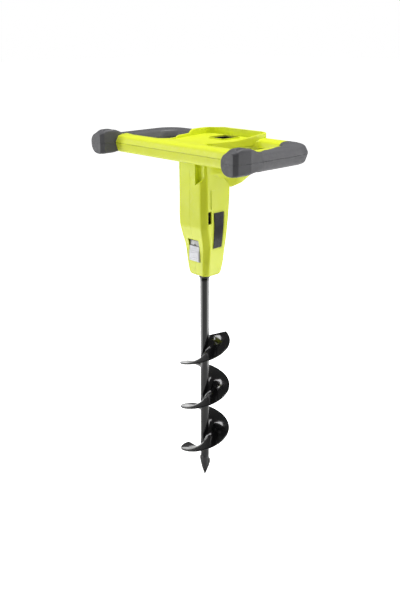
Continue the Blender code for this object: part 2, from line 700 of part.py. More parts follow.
def make_drive():
    made = {}
    motor_bottom = MOTOR_TOP - MOTOR_LENGTH
    made["motor_can"] = turned("motor_can", [
        (0.0064, MOTOR_TOP), (MOTOR_R, MOTOR_TOP), (MOTOR_R, motor_bottom),
        (MOTOR_R - 0.0016, motor_bottom), (MOTOR_R - 0.0016, MOTOR_TOP - 0.0016),
        (0.0064, MOTOR_TOP - 0.0016)])
    made["magnet_ring"] = turned("magnet_ring", [
        (ROTOR_R + 0.0012, MOTOR_TOP - 0.0080), (MAGNET_R, MOTOR_TOP - 0.0080), (MAGNET_R, motor_bottom + 0.0120),
        (ROTOR_R + 0.0012, motor_bottom + 0.0120)])

    end_cap = turned("motor_end_cap", [
        (0.0064, motor_bottom + 0.0060), (MAGNET_R, motor_bottom + 0.0060),
        (MAGNET_R, motor_bottom - GAP * 0.5), (MAGNET_R - 0.0003, motor_bottom - 0.0022),
        (0.0064, motor_bottom - 0.0022)])
    made["motor_end_cap"] = end_cap
    holder = turned("brush_holder", [
        (ROTOR_R + 0.0020, motor_bottom + 0.0112), (MAGNET_R, motor_bottom + 0.0112), (MAGNET_R, motor_bottom + 0.0066),
        (ROTOR_R + 0.0020, motor_bottom + 0.0066)], steps=24)
    for sign in (-1, 1):
        low = (min(sign * 0.0072, sign * (ROTOR_R + 0.0030)), -0.0022, motor_bottom + 0.0070)
        high = (max(sign * 0.0072, sign * (ROTOR_R + 0.0030)), 0.0022, motor_bottom + 0.0108)
        join(holder, box(f"brush_{sign}", low, high))
    made["brush_holder"] = holder

    armature_top = MOTOR_TOP - 0.0110
    armature_bottom = motor_bottom + 0.0160
    slots = []
    count = 8
    for k in range(count):
        middle = 2 * math.pi * k / count
        for offset, radius in ((-0.34, ROTOR_R), (0.34, ROTOR_R), (0.40, ROTOR_R - 0.0045),
                               (0.60, ROTOR_R - 0.0045)):
            angle = middle + offset * 2 * math.pi / count
            slots.append((radius * math.cos(angle), radius * math.sin(angle)))
    made["armature_core"] = plate("armature_core", [slots, circle_loop(MOTOR_SHAFT_R + GAP)],
                                  armature_bottom, armature_top)
    upper_coil, lower_coil = [turned(name, [
        (MOTOR_SHAFT_R + GAP, high), (ROTOR_R - 0.0028, high), (ROTOR_R - 0.0008, (low + high) / 2),
        (ROTOR_R - 0.0028, low),
        (MOTOR_SHAFT_R + GAP, low)], steps=24)
        for name, low, high in (("armature_windings", armature_top + GAP, armature_top + 0.0055),
                                ("lower_coil", armature_bottom - 0.0035, armature_bottom - GAP))]
    for k in range(count):
        angle = 2 * math.pi * (k + 0.5) / count
        x = (ROTOR_R - 0.0027) * math.cos(angle)
        y = (ROTOR_R - 0.0027) * math.sin(angle)
        join(upper_coil, cylinder("slot_coil", (ROTOR_R - 0.0027) * 0.08, (x, y, armature_bottom - 0.0010),
                                  (x, y, armature_top + 0.0020), sides=8))
    made["armature_windings"] = join(upper_coil, lower_coil)
    made["commutator"] = turned("commutator", [
        (MOTOR_SHAFT_R + GAP, motor_bottom + 0.0118), (0.0068, motor_bottom + 0.0118),
        (0.0068, motor_bottom + 0.0064), (MOTOR_SHAFT_R + GAP, motor_bottom + 0.0064)], steps=24)
    shaft = cylinder("motor_shaft", MOTOR_SHAFT_R, (0, 0, GEAR_TOP + 0.0004),
                     (0, 0, MOTOR_TOP + 0.0060), sides=20)
    pinion = sun_gear("pinion", GEAR_TOP + 0.0010, GEAR_TOP - GEAR_WIDTH)
    made["motor_shaft"] = join(shaft, pinion)
    made["motor_fan"] = make_fan(MOTOR_TOP + 0.0006, MOTOR_TOP + 0.0050)
    for name, top, bottom in (("motor_bearing_upper", MOTOR_TOP - GAP, MOTOR_TOP - 0.0050),
                              ("motor_bearing_lower", motor_bottom + 0.0050, motor_bottom - 0.0020)):
        made[name] = turned(name, [(MOTOR_SHAFT_R + 0.0001, top), (0.0064 - GAP, top),
                                   (0.0064 - GAP, bottom), (MOTOR_SHAFT_R + 0.0001, bottom)], steps=24)

    floor_hole = SPINDLE_R + 0.0030
    made["gearbox_case"] = turned("gearbox_case", [
        (CASE_INNER, CASE_TOP), (CASE_INNER + CASE_WALL, CASE_TOP),
        (CASE_INNER + CASE_WALL, CASE_FLOOR - 0.0020), (NOSE_R, CASE_FLOOR - 0.0050),
        (NOSE_R, NOSE_BOTTOM), (BEARING_R - 0.0020, NOSE_BOTTOM), (BEARING_R - 0.0020, NOSE_BOTTOM + 0.0016),
        (BEARING_R + GAP, NOSE_BOTTOM + 0.0016), (BEARING_R + GAP, CASE_FLOOR - 0.0030),
        (floor_hole, CASE_FLOOR - 0.0030), (floor_hole, CASE_FLOOR), (CASE_INNER, CASE_FLOOR)], steps=48)
    mount_top = CASE_TOP + 0.0025
    made["motor_mount_plate"] = turned("motor_mount_plate", [
        (0.0105, mount_top - GAP), (CASE_INNER + CASE_WALL + GAP, mount_top - GAP),
        (CASE_INNER + CASE_WALL + GAP, CASE_TOP + GAP), (0.0105, CASE_TOP + GAP)], steps=36)
    for piece in make_gears():
        made[piece.name] = piece

    flange_top = GEAR_TOP - GEAR_WIDTH - 0.0012
    spindle = carrier("output_spindle", flange_top, flange_top - 0.0040, 0.0150, GEAR_TOP - 0.0004)
    join(spindle, cylinder("spindle_bar", SPINDLE_R, (0, 0, SPINDLE_END), (0, 0, flange_top - 0.001),
                           sides=32))
    made["output_spindle"] = spindle
    for name, top in (("spindle_bearing_upper", CASE_FLOOR - 0.0034),
                      ("spindle_bearing_lower", NOSE_BOTTOM + 0.0020 + BEARING_WIDTH)):
        made[name] = turned(name, [(SPINDLE_R + 0.0001, top), (BEARING_R, top),
                                   (BEARING_R, top - BEARING_WIDTH), (SPINDLE_R + 0.0001, top - BEARING_WIDTH)],
                            steps=32)
    return made


def make_fan(low, high):
    """A cooling fan with six blades on the motor's shaft."""
    hub = turned("motor_fan", [(MOTOR_SHAFT_R + GAP, high), (0.0060, high), (0.0060, low + 0.0010),
                               (MOTOR_R - 0.0042, low + 0.0010), (MOTOR_R - 0.0042, low), (MOTOR_SHAFT_R + GAP, low)], steps=24)
    for k in range(6):
        blade = box("blade", (0.0050, -0.0006, low + 0.0005), (MOTOR_R - 0.0046, 0.0006, high))
        blade.matrix_world = Matrix.Rotation(math.radians(60 * k + 15), 4, "Z")
        join(hub, blade)
    return hub


# ---- bit ----------------------------------------------------------------
def flight_height(angle):
    """Helix height: full pitch down to the knee, flatter below it."""
    rise = FLIGHT_PITCH / (2 * math.pi)
    if angle >= FLIGHT_KNEE:
        return FLIGHT_AT_ZERO + rise * angle
    return FLIGHT_AT_ZERO + rise * (FLIGHT_KNEE + LIP_SLOPE * (angle - FLIGHT_KNEE))


def make_flight():
    """The helical plate welded round the bit's shaft."""
    inner = SHAFT_R + GAP
    steps = 98
    rings = []
    for k in range(steps + 1):
        angle = FLIGHT_START + (FLIGHT_END - FLIGHT_START) * k / steps
        z = flight_height(angle)
        ca = math.cos(angle)
        sa = math.sin(angle)
        rings.append([(r * ca, r * sa, z + h) for r, h in
                      ((inner, -FLIGHT_THICK / 2), (FLIGHT_R, -FLIGHT_THICK / 2),
                       (FLIGHT_R, FLIGHT_THICK / 2), (inner, FLIGHT_THICK / 2))])
    return loft("auger_flight", rings)


def make_bit():
    socket = SPINDLE_R + 0.0002
    shaft = turned("auger_shaft", [
        (socket, SHAFT_TOP), (SHAFT_R, SHAFT_TOP), (SHAFT_R, SHAFT_BOTTOM), (0.0, SHAFT_BOTTOM),
        (0.0, SPINDLE_END - 0.0010), (socket, SPINDLE_END - 0.0010)], steps=32)
    pin_z = (SHAFT_TOP + SPINDLE_END) / 2
    along = Vector((math.cos(math.radians(46)), math.sin(math.radians(46)), 0))
    reach = SHAFT_R - 0.0002
    pin_hole = cylinder("pin_hole", 0.0020 + GAP, along * -0.05 + Vector((0, 0, pin_z)),
                        along * 0.05 + Vector((0, 0, pin_z)), sides=12, cutter=True)
    pin = cylinder("drive_pin", 0.0020, along * -reach + Vector((0, 0, pin_z)),
                   along * reach + Vector((0, 0, pin_z)), sides=12)
    cut(shaft, pin_hole)
    collar = turned("dust_collar", [
        (SPINDLE_R + GAP, -0.2462), (0.0104, -0.2462), (0.0106, SHAFT_TOP + 0.0006),
        (SPINDLE_R + GAP, SHAFT_TOP + 0.0006)], steps=32)
    lateral = Vector((math.cos(math.radians(46)), math.sin(math.radians(46)), 0))
    outline = [(-0.0098, -0.6560), (-0.0090, -0.6505 - GAP - 0.0015), (0.0076, -0.6505 - GAP - 0.0015),
               (0.0080, -0.6575), (0.0100, -0.6600), (0.0102, -0.6680), (0.0072, -0.6790),
               (0.0008, TIP_Z), (-0.0008, TIP_Z), (-0.0060, -0.6790), (-0.0085, -0.6660)]
    blade = plate("spear_tip", [outline], -0.0028, 0.0028, bevel=0.0)
    turn = Matrix((( lateral.x, 0, -lateral.y, 0), (lateral.y, 0, lateral.x, 0), (0, 1, 0, 0), (0, 0, 0, 1)))
    blade.data.transform(turn)
    blade.data.update()
    root = cylinder("spear_root", SHAFT_R - 0.0006, (0, 0, -0.6720), (0, 0, SHAFT_BOTTOM - GAP), sides=24)
    flare = cylinder("spear_cone", 0.0020, (0, 0, -0.6900), (0, 0, -0.6715), sides=24,
                     radius_end=SHAFT_R - 0.0006)
    join(root, flare)
    join(blade, root)
    return shaft, pin, collar, blade, pin_hole


# ---- controls, battery port, electronics ---------------------------------
def make_controls(shells, grips):
    """Trigger, lock-off button and direction switch, with their openings."""
    inner_face = HALF_WIDTH - RAIL
    sx, sy, sz = TRIGGER_SIZE
    low = (inner_face - 0.0060, TRIGGER_Y - sy / 2, -sz / 2 - 0.0010)
    high = (inner_face - 0.0060 + sx, TRIGGER_Y + sy / 2, sz / 2 - 0.0010)
    trigger = box("trigger", low, high, bevel=0.0025, segments=2)
    stem_x = high[0] + 0.0040
    stem = box("trigger_stem", (high[0] - 0.003, TRIGGER_Y - 0.005, -0.005), (stem_x, TRIGGER_Y + 0.005, 0.003))
    join(trigger, stem)
    opening = box("trigger_opening", (inner_face - 0.03, low[1] - RUN, low[2] - RUN),
                  (high[0] + TRIGGER_TRAVEL + RUN, high[1] + RUN, high[2] + RUN), cutter=True)
    lock_z = 0.0058
    lock_low = (inner_face - 0.0015, LOCK_Y - 0.0070, lock_z - 0.0035)
    lock = box("lock_off_button", lock_low, (inner_face + 0.0105, LOCK_Y + 0.0070, lock_z + 0.0035),
               bevel=0.0015, segments=1)
    lock_opening = box("lock_opening", (inner_face - 0.03, LOCK_Y - 0.0070 - RUN, lock_z - 0.0035 - RUN),
                       (inner_face + 0.0105 + LOCK_TRAVEL + RUN, LOCK_Y + 0.0070 + RUN, lock_z + 0.0035 + RUN),
                       cutter=True)
    bar_back = BAR_REAR
    slide = box("direction_switch", (DIRECTION_X - 0.0070, bar_back - 0.0095, 0.0020),
                (DIRECTION_X + 0.0070, bar_back + 0.0020, 0.0080), bevel=0.0010, segments=1)
    slide_opening = box("direction_opening",
                        (DIRECTION_X - 0.0070 - DIRECTION_THROW - RUN, bar_back - 0.0095 - RUN, 0.0020 - RUN),
                        (DIRECTION_X + 0.0070 + DIRECTION_THROW + RUN, bar_back + 0.02, 0.0080 + RUN),
                        cutter=True)
    for piece in list(shells) + list(grips):
        cut(piece, opening, lock_opening)
    cut(shells[0], slide_opening)
    module_x = stem_x + TRIGGER_TRAVEL + RUN
    module = box("switch_module", (module_x, TRIGGER_Y - 0.0150, -0.0085), (module_x + 0.0095, TRIGGER_Y + 0.0150, 0.0060),
                 bevel=0.0008, segments=1)
    return trigger, lock, slide, module


def make_selector():
    """Speed selector slide, its track plate and the fork it moves."""
    half = SELECTOR_WIDTH / 2
    top = SELECTOR_LOW + SELECTOR_HEIGHT
    face = SELECTOR_FLOOR_Y - 0.0050
    track = box("selector_track", (-half + 0.0005, SELECTOR_FLOOR_Y - 0.0009, SELECTOR_LOW + 0.0005),
                (half - 0.0005, SELECTOR_FLOOR_Y - GAP, top + SELECTOR_TRAVEL - 0.0005))
    slot = box("track_slot", (-0.0030, -0.1, -0.2080), (0.0030, 0.0, -0.1830), cutter=True)
    cut(track, slot)
    slider = box("speed_selector", (-half, face, SELECTOR_LOW), (half, SELECTOR_FLOOR_Y - 0.0012, top),
                 bevel=0.0012, segments=1)
    crease = box("slider_crease", (-0.02, face - 0.002, top - 0.0110), (0.02, face + 0.0008, top - 0.0098),
                 cutter=True)
    cut(slider, crease)
    fork_z = -0.2040
    stem = box("selector_stem", (-0.0024, SELECTOR_FLOOR_Y - 0.0020, fork_z - 0.0024),
               (0.0024, -0.0200, fork_z + 0.0024))
    join(slider, stem)
    arc = [math.radians(200 + 140 * k / 10) for k in range(11)]
    outer = 0.0194
    inner = NOSE_R + 0.0005
    loop = [(outer * math.cos(a), outer * math.sin(a)) for a in arc]
    loop += [(inner * math.cos(a), inner * math.sin(a)) for a in reversed(arc)]
    fork = plate("shift_fork", [loop], fork_z - 0.0016, fork_z + 0.0016)
    return track, slider, fork


def make_port(upper, lower):
    """The battery post's well with its contacts, let into the deck."""
    px, py = PORT_SIZE
    wall = 0.0020
    low = TRAY_FLOOR - PORT_DEPTH
    outer = plate("battery_well", [arc_loop((-px / 2 - wall, PORT_Y - py / 2 - wall),
                                            (px / 2 + wall, PORT_Y + py / 2 + wall), (0.006,) * 4, 3)],
                  low, TRAY_FLOOR - 0.0002)
    room = plate("well_room", [arc_loop((-px / 2, PORT_Y - py / 2), (px / 2, PORT_Y + py / 2),
                                        (0.005,) * 4, 3)], low + 0.0025, 0.05, cutter=True)
    cut(outer, room)
    hole = plate("well_hole", [arc_loop((-px / 2 - wall - GAP, PORT_Y - py / 2 - wall - GAP),
                                        (px / 2 + wall + GAP, PORT_Y + py / 2 + wall + GAP),
                                        (0.0063,) * 4, 3)], low - GAP, 0.05, cutter=True)
    cut(upper, hole)
    cut(lower, hole)
    front = PORT_Y - py / 2
    block = box("battery_contacts", (-0.0145, front + 0.0004, low + 0.0028),
                (0.0145, front + 0.0050, low + 0.0060))
    for x in (-0.0095, 0.0, 0.0095):
        join(block, box(f"contact_{x}", (x - 0.0030, front + 0.0004, low + 0.0040),
                        (x + 0.0030, front + 0.0014, low + 0.0280)))
    return outer, block


def make_electronics():
    board = box("control_board", (-0.0260, -0.0400, -0.0330), (0.0260, 0.0180, -0.0314))
    for x, y, w, d, h in ((-0.014, -0.026, 0.010, 0.010, 0.008), (0.014, -0.026, 0.010, 0.010, 0.008),
                          (-0.012, 0.004, 0.012, 0.012, 0.005), (0.013, 0.004, 0.014, 0.008, 0.003)):
        join(board, box("chip", (x - w / 2, y - d / 2, -0.0320), (x + w / 2, y + d / 2, -0.0314 + h)))
    return board


def smooth_route(points, steps=5):
    """Catmull-Rom through hand-set points."""
    vectors = [Vector(p) for p in points]
    vectors = [vectors[0]] + vectors + [vectors[-1]]
    out = []
    for i in range(1, len(vectors) - 2):
        p0, p1, p2, p3 = vectors[i - 1:i + 3]
        for k in range(steps):
            t = k / steps
            out.append(0.5 * ((2 * p1) + (p2 - p0) * t + (2 * p0 - 5 * p1 + 4 * p2 - p3) * t * t
                              + (3 * p1 - p0 - 3 * p2 + p3) * t ** 3))
    out.append(vectors[-2])
    return out


def make_leads():
    """A twin lead from the board to the motor, and one out through the front bar to the switch."""
    motor = wire("motor_lead", smooth_route([
        (0.0200, -0.0050, -0.0340), (0.0240, -0.0020, -0.0480), (MOTOR_R + 0.0040, 0.0000, -0.0700),
        (MOTOR_R + 0.0040, 0.0000, -0.1000), (MOTOR_R + 0.0040, 0.0000, MOTOR_TOP - 0.0520)]), 0.0015)
    switch = wire("switch_lead", smooth_route([
        (0.0150, -0.0340, -0.0180), (0.0300, BAR_REAR - 0.0040, -0.0080), (0.0600, BAR_REAR - 0.0120, -0.0040),
        (BAR_END - 0.0400, BAR_REAR - 0.0130, -0.0040), (BAR_END, BAR_REAR - 0.0160, -0.0040),
        (HALF_WIDTH - RAIL + 0.0140, BAR_REAR - 0.0040, -0.0040),
        (HALF_WIDTH - RAIL + 0.0180, TRIGGER_Y - 0.0160, -0.0040)]), 0.0014)
    return motor, switch


def make_column_screws():
    screws = []
    for number, (y, z) in enumerate(SCREW_PLACES, start=1):
        x = -side_x(z) + 0.0030
        shank = cylinder(f"housing_screw_{number}", 0.0013, (x - 0.0010, y, z), (0.0150, y, z), sides=10)
        head = cylinder("screw_head", 0.0026, (x - 0.0020, y, z), (x - GAP, y, z), sides=10)
        screws.append(join(shank, head))
    return screws


HANDLE_SCREWS = ((-0.0900, FRONT_Y + 0.0200), (0.0900, FRONT_Y + 0.0200),
                 (-0.0900, REAR_Y - 0.0210), (0.0900, REAR_Y - 0.0210))


def make_handle_screws(upper, lower):
    """Screws driven up through the lower shell into posts in the upper one."""
    screws = []
    for number, (x, y) in enumerate(HANDLE_SCREWS, start=1):
        post = cylinder("post", 0.0038, (x, y, GAP / 2), (x, y, TUBE_TOP - 0.0015), sides=12)
        join(upper, post)
        sleeve = cylinder("sleeve", 0.0045, (x, y, TUBE_BOTTOM + 0.0015), (x, y, -GAP / 2), sides=12)
        join(lower, sleeve)
        cut(upper, cylinder("pilot", 0.0016, (x, y, -0.01), (x, y, 0.0085), sides=10, cutter=True))
        cut(lower, cylinder("pass", 0.0017, (x, y, -0.05), (x, y, 0.01), sides=10, cutter=True))
        cut(lower, cylinder("bore", 0.0032, (x, y, -0.05), (x, y, -0.0110), sides=12, cutter=True))
        shank = cylinder(f"handle_screw_{number}", 0.0013, (x, y, -0.0125), (x, y, 0.0075), sides=10)
        head = cylinder("handle_screw_head", 0.0028, (x, y, -0.0135), (x, y, -0.0110 - GAP), sides=12)
        screws.append(join(shank, head))
    return screws


# ---- build --------------------------------------------------------------
def main():
    clear_scene()
    lime = material("lime_plastic", LIME, 0.35)
    grey = material("grey_rubber", GREY, 0.6)
    black = material("black_plastic", BLACK, 0.4)
    gloss = material("black_enamel", BLACK, 0.15)
    steel = material("steel", STEEL, 0.3, 1.0)
    copper = material("copper", COPPER, 0.35, 1.0)
    silver = material("silver_plastic", (0.72, 0.73, 0.76), 0.35)

    upper, lower = make_shells()
    grips = make_grips(upper, lower)
    blocks = make_blocks()
    trigger, lock, slide, module = make_controls((upper, lower), grips)
    well, contacts = make_port(upper, lower)
    handle_screws = make_handle_screws(upper, lower)
    left, right = make_column()
    plates = make_badges()
    grilles = make_vent_grilles()
    track, slider, fork = make_selector()
    drive = make_drive()
    shaft, pin, collar, spear, pin_hole = make_bit()
    cut(drive["output_spindle"], pin_hole)
    flight = make_flight()
    board = make_electronics()
    motor_lead, switch_lead = make_leads()
    column_screws = make_column_screws()

    finishes = {
        lime: [upper, lower, left, right],
        grey: grips + blocks,
        black: [trigger, lock, slide, module, well, board, track, collar] + plates + grilles,
        gloss: [shaft, flight, spear],
        silver: [slider],
        copper: [contacts, drive["armature_windings"], drive["commutator"], motor_lead, switch_lead],
        steel: [fork, pin] + column_screws + handle_screws,
    }
    for mat, members in finishes.items():
        for member in members:
            dress(member, mat)
    dressed = {member for members in finishes.values() for member in members}
    for piece in drive.values():
        if piece not in dressed:
            dress(piece, steel)


main()
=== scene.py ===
"""Looks of the cordless soil auger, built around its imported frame.

Metres, +Z up, origin where the bit's axis crosses the handle's mid-plane.
"""

import math

import bmesh
import bpy
import numpy as np
from mathutils import Matrix, Vector


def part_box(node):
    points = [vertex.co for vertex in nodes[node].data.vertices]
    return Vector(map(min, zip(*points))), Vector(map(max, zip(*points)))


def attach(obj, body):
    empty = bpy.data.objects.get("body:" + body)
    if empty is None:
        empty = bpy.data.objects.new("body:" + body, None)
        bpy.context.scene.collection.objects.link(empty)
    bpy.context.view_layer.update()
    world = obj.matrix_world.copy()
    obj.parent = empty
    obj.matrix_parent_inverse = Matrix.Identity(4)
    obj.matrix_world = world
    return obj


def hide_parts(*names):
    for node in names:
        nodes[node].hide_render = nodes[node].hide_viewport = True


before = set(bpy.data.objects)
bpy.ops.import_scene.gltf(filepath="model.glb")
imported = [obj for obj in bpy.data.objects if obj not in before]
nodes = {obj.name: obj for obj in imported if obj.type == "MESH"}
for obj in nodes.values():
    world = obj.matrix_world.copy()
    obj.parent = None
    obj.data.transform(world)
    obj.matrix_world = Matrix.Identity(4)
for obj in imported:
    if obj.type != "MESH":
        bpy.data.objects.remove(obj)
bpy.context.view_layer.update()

# Handle, seen from above: outside sizes, the side rails' and front bar's widths, the deck's half width
HALF_WIDTH, FRONT_Y, REAR_Y = 0.195, -0.086, 0.095
REAR_CORNER, FRONT_CORNER = 0.054, 0.006
RAIL, FRONT_BAR, DECK_HALF = 0.043, 0.04, 0.059
FLARE, FLARE_START, FLARE_END = 0.02, -0.05, 0.07     # how much the deck widens, and over which Y
TUBE_TOP, TUBE_BOTTOM = 0.015, -0.019
SEAM_GAP = 0.0003                                           # width of a parting line
# Grip covers: where they start behind the corner blocks and end on the rear bar
GRIP_FRONT_Y, GRIP_END_RIGHT, GRIP_END_LEFT = -0.055, 0.134, 0.086
# Battery tray and well
TRAY_LOW, TRAY_HIGH = np.array([-0.06, -0.05]), np.array([0.06, 0.0958])
TRAY_CORNERS = (0.022, 0.022, 0.014, 0.014)
TRAY_FLOOR, RIM_FOOT, WELL_FLOOR = 0.01, 0.0045, -0.0403
WELL_LOW, WELL_HIGH = np.array([-0.02, 0.03]), np.array([0.02, 0.074])
# Pod and column
SEAM_Z, SEAM_SLOPE = -0.052, -0.3
COLUMN_TOP, COLUMN_BOTTOM, COLUMN_WALL = -0.0193, -0.2455, 0.0024
SELECTOR_BOTTOM, SELECTOR_LONG, SELECTOR_HALF = -0.2155, 0.0305, 0.014
PLATE_FRONT, PLATE_REAR, PLATE_TOP, PLATE_LONG = -0.0125, 0.014, -0.118, 0.07
PLATE_TAPER, PLATE_CORNER = 0.0022, 0.0022
BLOCK_SHIFT = -0.35                                       # from the right corner block to the left one
# Bit
SHAFT_R, SHAFT_TOP, SHAFT_BOTTOM = 0.0086, -0.254, -0.652
SOCKET_R, SOCKET_FLOOR, AXIS_R = 0.0062, -0.291, 0.0004
FLIGHT_R, FLIGHT_HALF, PITCH, FLIGHT_ZERO = 0.051, 0.00125, 0.0987, -0.5973
FLIGHT_TOP, FLIGHT_KNEE, FLIGHT_LIP = np.radians((797.0, -134.0, -182.0))
TIP_TURN = math.radians(46.0)


# ---- mesh helpers ----
def link_mesh(name, verts, faces, smooth=True, sharp=40.0):
    """A mesh object from arrays of points and faces, smooth except across sharp edges."""
    mesh = bpy.data.meshes.new(name)
    points = np.asarray(verts, float).reshape(-1, 3).tolist()
    mesh.from_pydata(points, [], [list(map(int, f)) for f in faces])
    mesh.update()
    obj = bpy.data.objects.new(name, mesh)
    bpy.context.scene.collection.objects.link(obj)
    tidy_normals(obj)
    return shade(obj, sharp) if smooth else obj


def shade(obj, sharp):
    """Smooth shading, broken where faces meet at more than sharp degrees."""
    obj.data.shade_smooth()
    obj.data.set_sharp_from_angle(angle=math.radians(sharp))
    return obj


def tidy_normals(obj, merge=0.000004):
    """Merge doubles and turn every face outwards."""
    bm = bmesh.new()
    bm.from_mesh(obj.data)
    bmesh.ops.remove_doubles(bm, verts=bm.verts, dist=merge)
    bmesh.ops.recalc_face_normals(bm, faces=bm.faces)
    bm.to_mesh(obj.data)
    bm.free()


def grid_faces(rows, cols, wrap_cols=True, wrap_rows=False):
    """Quads joining a rows by cols grid of points, as one array."""
    r = np.arange(rows if wrap_rows else rows - 1)
    c = np.arange(cols if wrap_cols else cols - 1)
    rr, cc = np.meshgrid(r, c, indexing="ij")
    r1 = (rr + 1) % rows
    c1 = (cc + 1) % cols
    return np.stack([rr * cols + cc, rr * cols + c1, r1 * cols + c1, r1 * cols + cc], -1).reshape(-1, 4)


def surface(name, points, wrap_cols=True, wrap_rows=False, caps=True, sharp=40.0):
    """A grid of points (rows, cols, 3) as a surface; open rows are closed with flat caps."""
    rows, cols = points.shape[:2]
    faces = [tuple(f) for f in grid_faces(rows, cols, wrap_cols, wrap_rows)]
    if caps and wrap_cols and not wrap_rows:
        faces.append(tuple(range(cols)))
        faces.append(tuple(range((rows - 1) * cols, rows * cols)))
    return link_mesh(name, points, faces, sharp=sharp)


def smoothstep(a, b, x):
    """0 below a, 1 above b, and a smooth rise between."""
    t = np.clip((x - a) / (b - a), 0.0, 1.0)
    return t * t * (3 - 2 * t)


def open_sheet(name, points, outwards, thickness):
    """An open grid turned to face outwards, with a live wall behind it."""
    sheet = surface(name, points, wrap_cols=False, caps=False)
    if sheet.data.polygons[0].normal.dot(Vector(outwards)) < 0:
        sheet.data.flip_normals()
    wall = sheet.modifiers.new("thickness", "SOLIDIFY")
    wall.thickness = thickness
    wall.offset = -1
    return sheet


def parabola(start, middle, end, t):
    """Points (1-t)^2 start + 2t(1-t) middle + t^2 end."""
    return (1 - t) ** 2 * start + 2 * t * (1 - t) * middle + t ** 2 * end


def rounded_loop(low, high, radii, steps):
    """A rectangle whose corners (+X+Y, -X+Y, -X-Y, +X-Y) are arcs: centre plus radius (cos, sin)."""
    low = np.array(low, float)
    high = np.array(high, float)
    corners = np.array([[high[0], high[1]], [low[0], high[1]], [low[0], low[1]], [high[0], low[1]]])
    inward = np.array([[-1, -1], [1, -1], [1, 1], [-1, 1]], float)
    radii = np.maximum(np.array(radii, float), 0.0002)
    centres = corners + inward * radii[:, None]
    angles = np.radians(np.array([0, 90, 180, 270])[:, None] + np.linspace(0, 90, steps + 1)[None, :])
    ring = np.stack([np.cos(angles), np.sin(angles)], -1)
    return (centres[:, None, :] + radii[:, None, None] * ring).reshape(-1, 2)


def resample(loop, spacing):
    """Points added along the straight runs of a closed loop so that none is longer than spacing."""
    out = []
    for a, b in zip(loop, np.roll(loop, -1, axis=0)):
        count = max(1, int(math.ceil(np.linalg.norm(b - a) / spacing)))
        out.append(a + (b - a) * np.linspace(0, 1, count, endpoint=False)[:, None])
    return np.vstack(out)


def resample_fixed(loop, parts):
    """Each of a rounded rectangle's four straight runs split into 5 times parts, whatever its inset."""
    count = len(loop) // 4
    out = []
    for k, (a, b) in enumerate(zip(loop, np.roll(loop, -1, axis=0))):
        n = parts * 5 if k % count == count - 1 else 1
        out.append(a + (b - a) * np.linspace(0, 1, n, endpoint=False)[:, None])
    return np.vstack(out)


def slice_keep(obj, point, normal):
    """Cut a mesh by a plane, keep the side the normal points to, and close it."""
    bm = bmesh.new()
    bm.from_mesh(obj.data)
    geom = bm.verts[:] + bm.edges[:] + bm.faces[:]
    cut = bmesh.ops.bisect_plane(bm, geom=geom, plane_co=point, plane_no=normal,
                                 clear_inner=True, dist=1e-6)
    edges = [e for e in cut["geom_cut"] if isinstance(e, bmesh.types.BMEdge)]
    bmesh.ops.triangle_fill(bm, edges=edges, use_beauty=True)
    bmesh.ops.recalc_face_normals(bm, faces=bm.faces)
    bm.to_mesh(obj.data)
    bm.free()
    return obj


def combine(obj, others, operation):
    """Exact booleans of obj with closed solids, which are then removed."""
    for other in others:
        mod = obj.modifiers.new("combine", "BOOLEAN")
        mod.operation = operation
        mod.object = other
        graph = bpy.context.evaluated_depsgraph_get()
        mesh = bpy.data.meshes.new_from_object(obj.evaluated_get(graph))
        obj.modifiers.clear()
        obj.data = mesh
        bpy.data.objects.remove(other, do_unlink=True)
    return obj


def block_solid(name, low, high):
    """A closed box used to cut or join."""
    low = np.array(low, float)
    high = np.array(high, float)
    corner = np.array([[0, 0, 0], [1, 0, 0], [1, 1, 0], [0, 1, 0],
                       [0, 0, 1], [1, 0, 1], [1, 1, 1], [0, 1, 1]])
    faces = [(0, 3, 2, 1), (4, 5, 6, 7), (0, 1, 5, 4), (1, 2, 6, 5), (2, 3, 7, 6), (3, 0, 4, 7)]
    return link_mesh(name, low + corner * (high - low), faces, smooth=False)


def opening_for(node, below, above):
    """A box round a CAD node's own box, with room below and above it on each axis."""
    low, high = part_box(node)
    return block_solid("opening", low - Vector(below), high + Vector(above))


def prism(name, loop, low, high):
    """A flat outline carried straight up between two heights, closed at both ends."""
    loop = np.asarray(loop, float)
    heights = np.array([low, high])
    points = np.concatenate([np.broadcast_to(loop, (2,) + loop.shape),
                             np.broadcast_to(heights[:, None, None], (2, len(loop), 1))], -1)
    return surface(name, points, sharp=30.0)


def soften(obj, width, segments=2, angle=35.0):
    """A live bevel on the sharp edges, and normals weighted by face area."""
    bevel = obj.modifiers.new("soft_edges", "BEVEL")
    bevel.width = width
    bevel.segments = segments
    bevel.limit_method = "ANGLE"
    bevel.angle_limit = math.radians(angle)
    bevel.use_clamp_overlap = True
    bevel.harden_normals = False
    weighted = obj.modifiers.new("weighted_normals", "WEIGHTED_NORMAL")
    weighted.keep_sharp = True
    return obj


def place(obj, body, slot, mat, *replaced):
    """Put a finish on a piece, tie it to its body and hide the solids it stands for. The slot argument is not
    used.
    """
    obj.data.materials.clear()
    obj.data.materials.append(mat)
    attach(obj, body)
    if replaced:
        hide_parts(*replaced)
    return obj


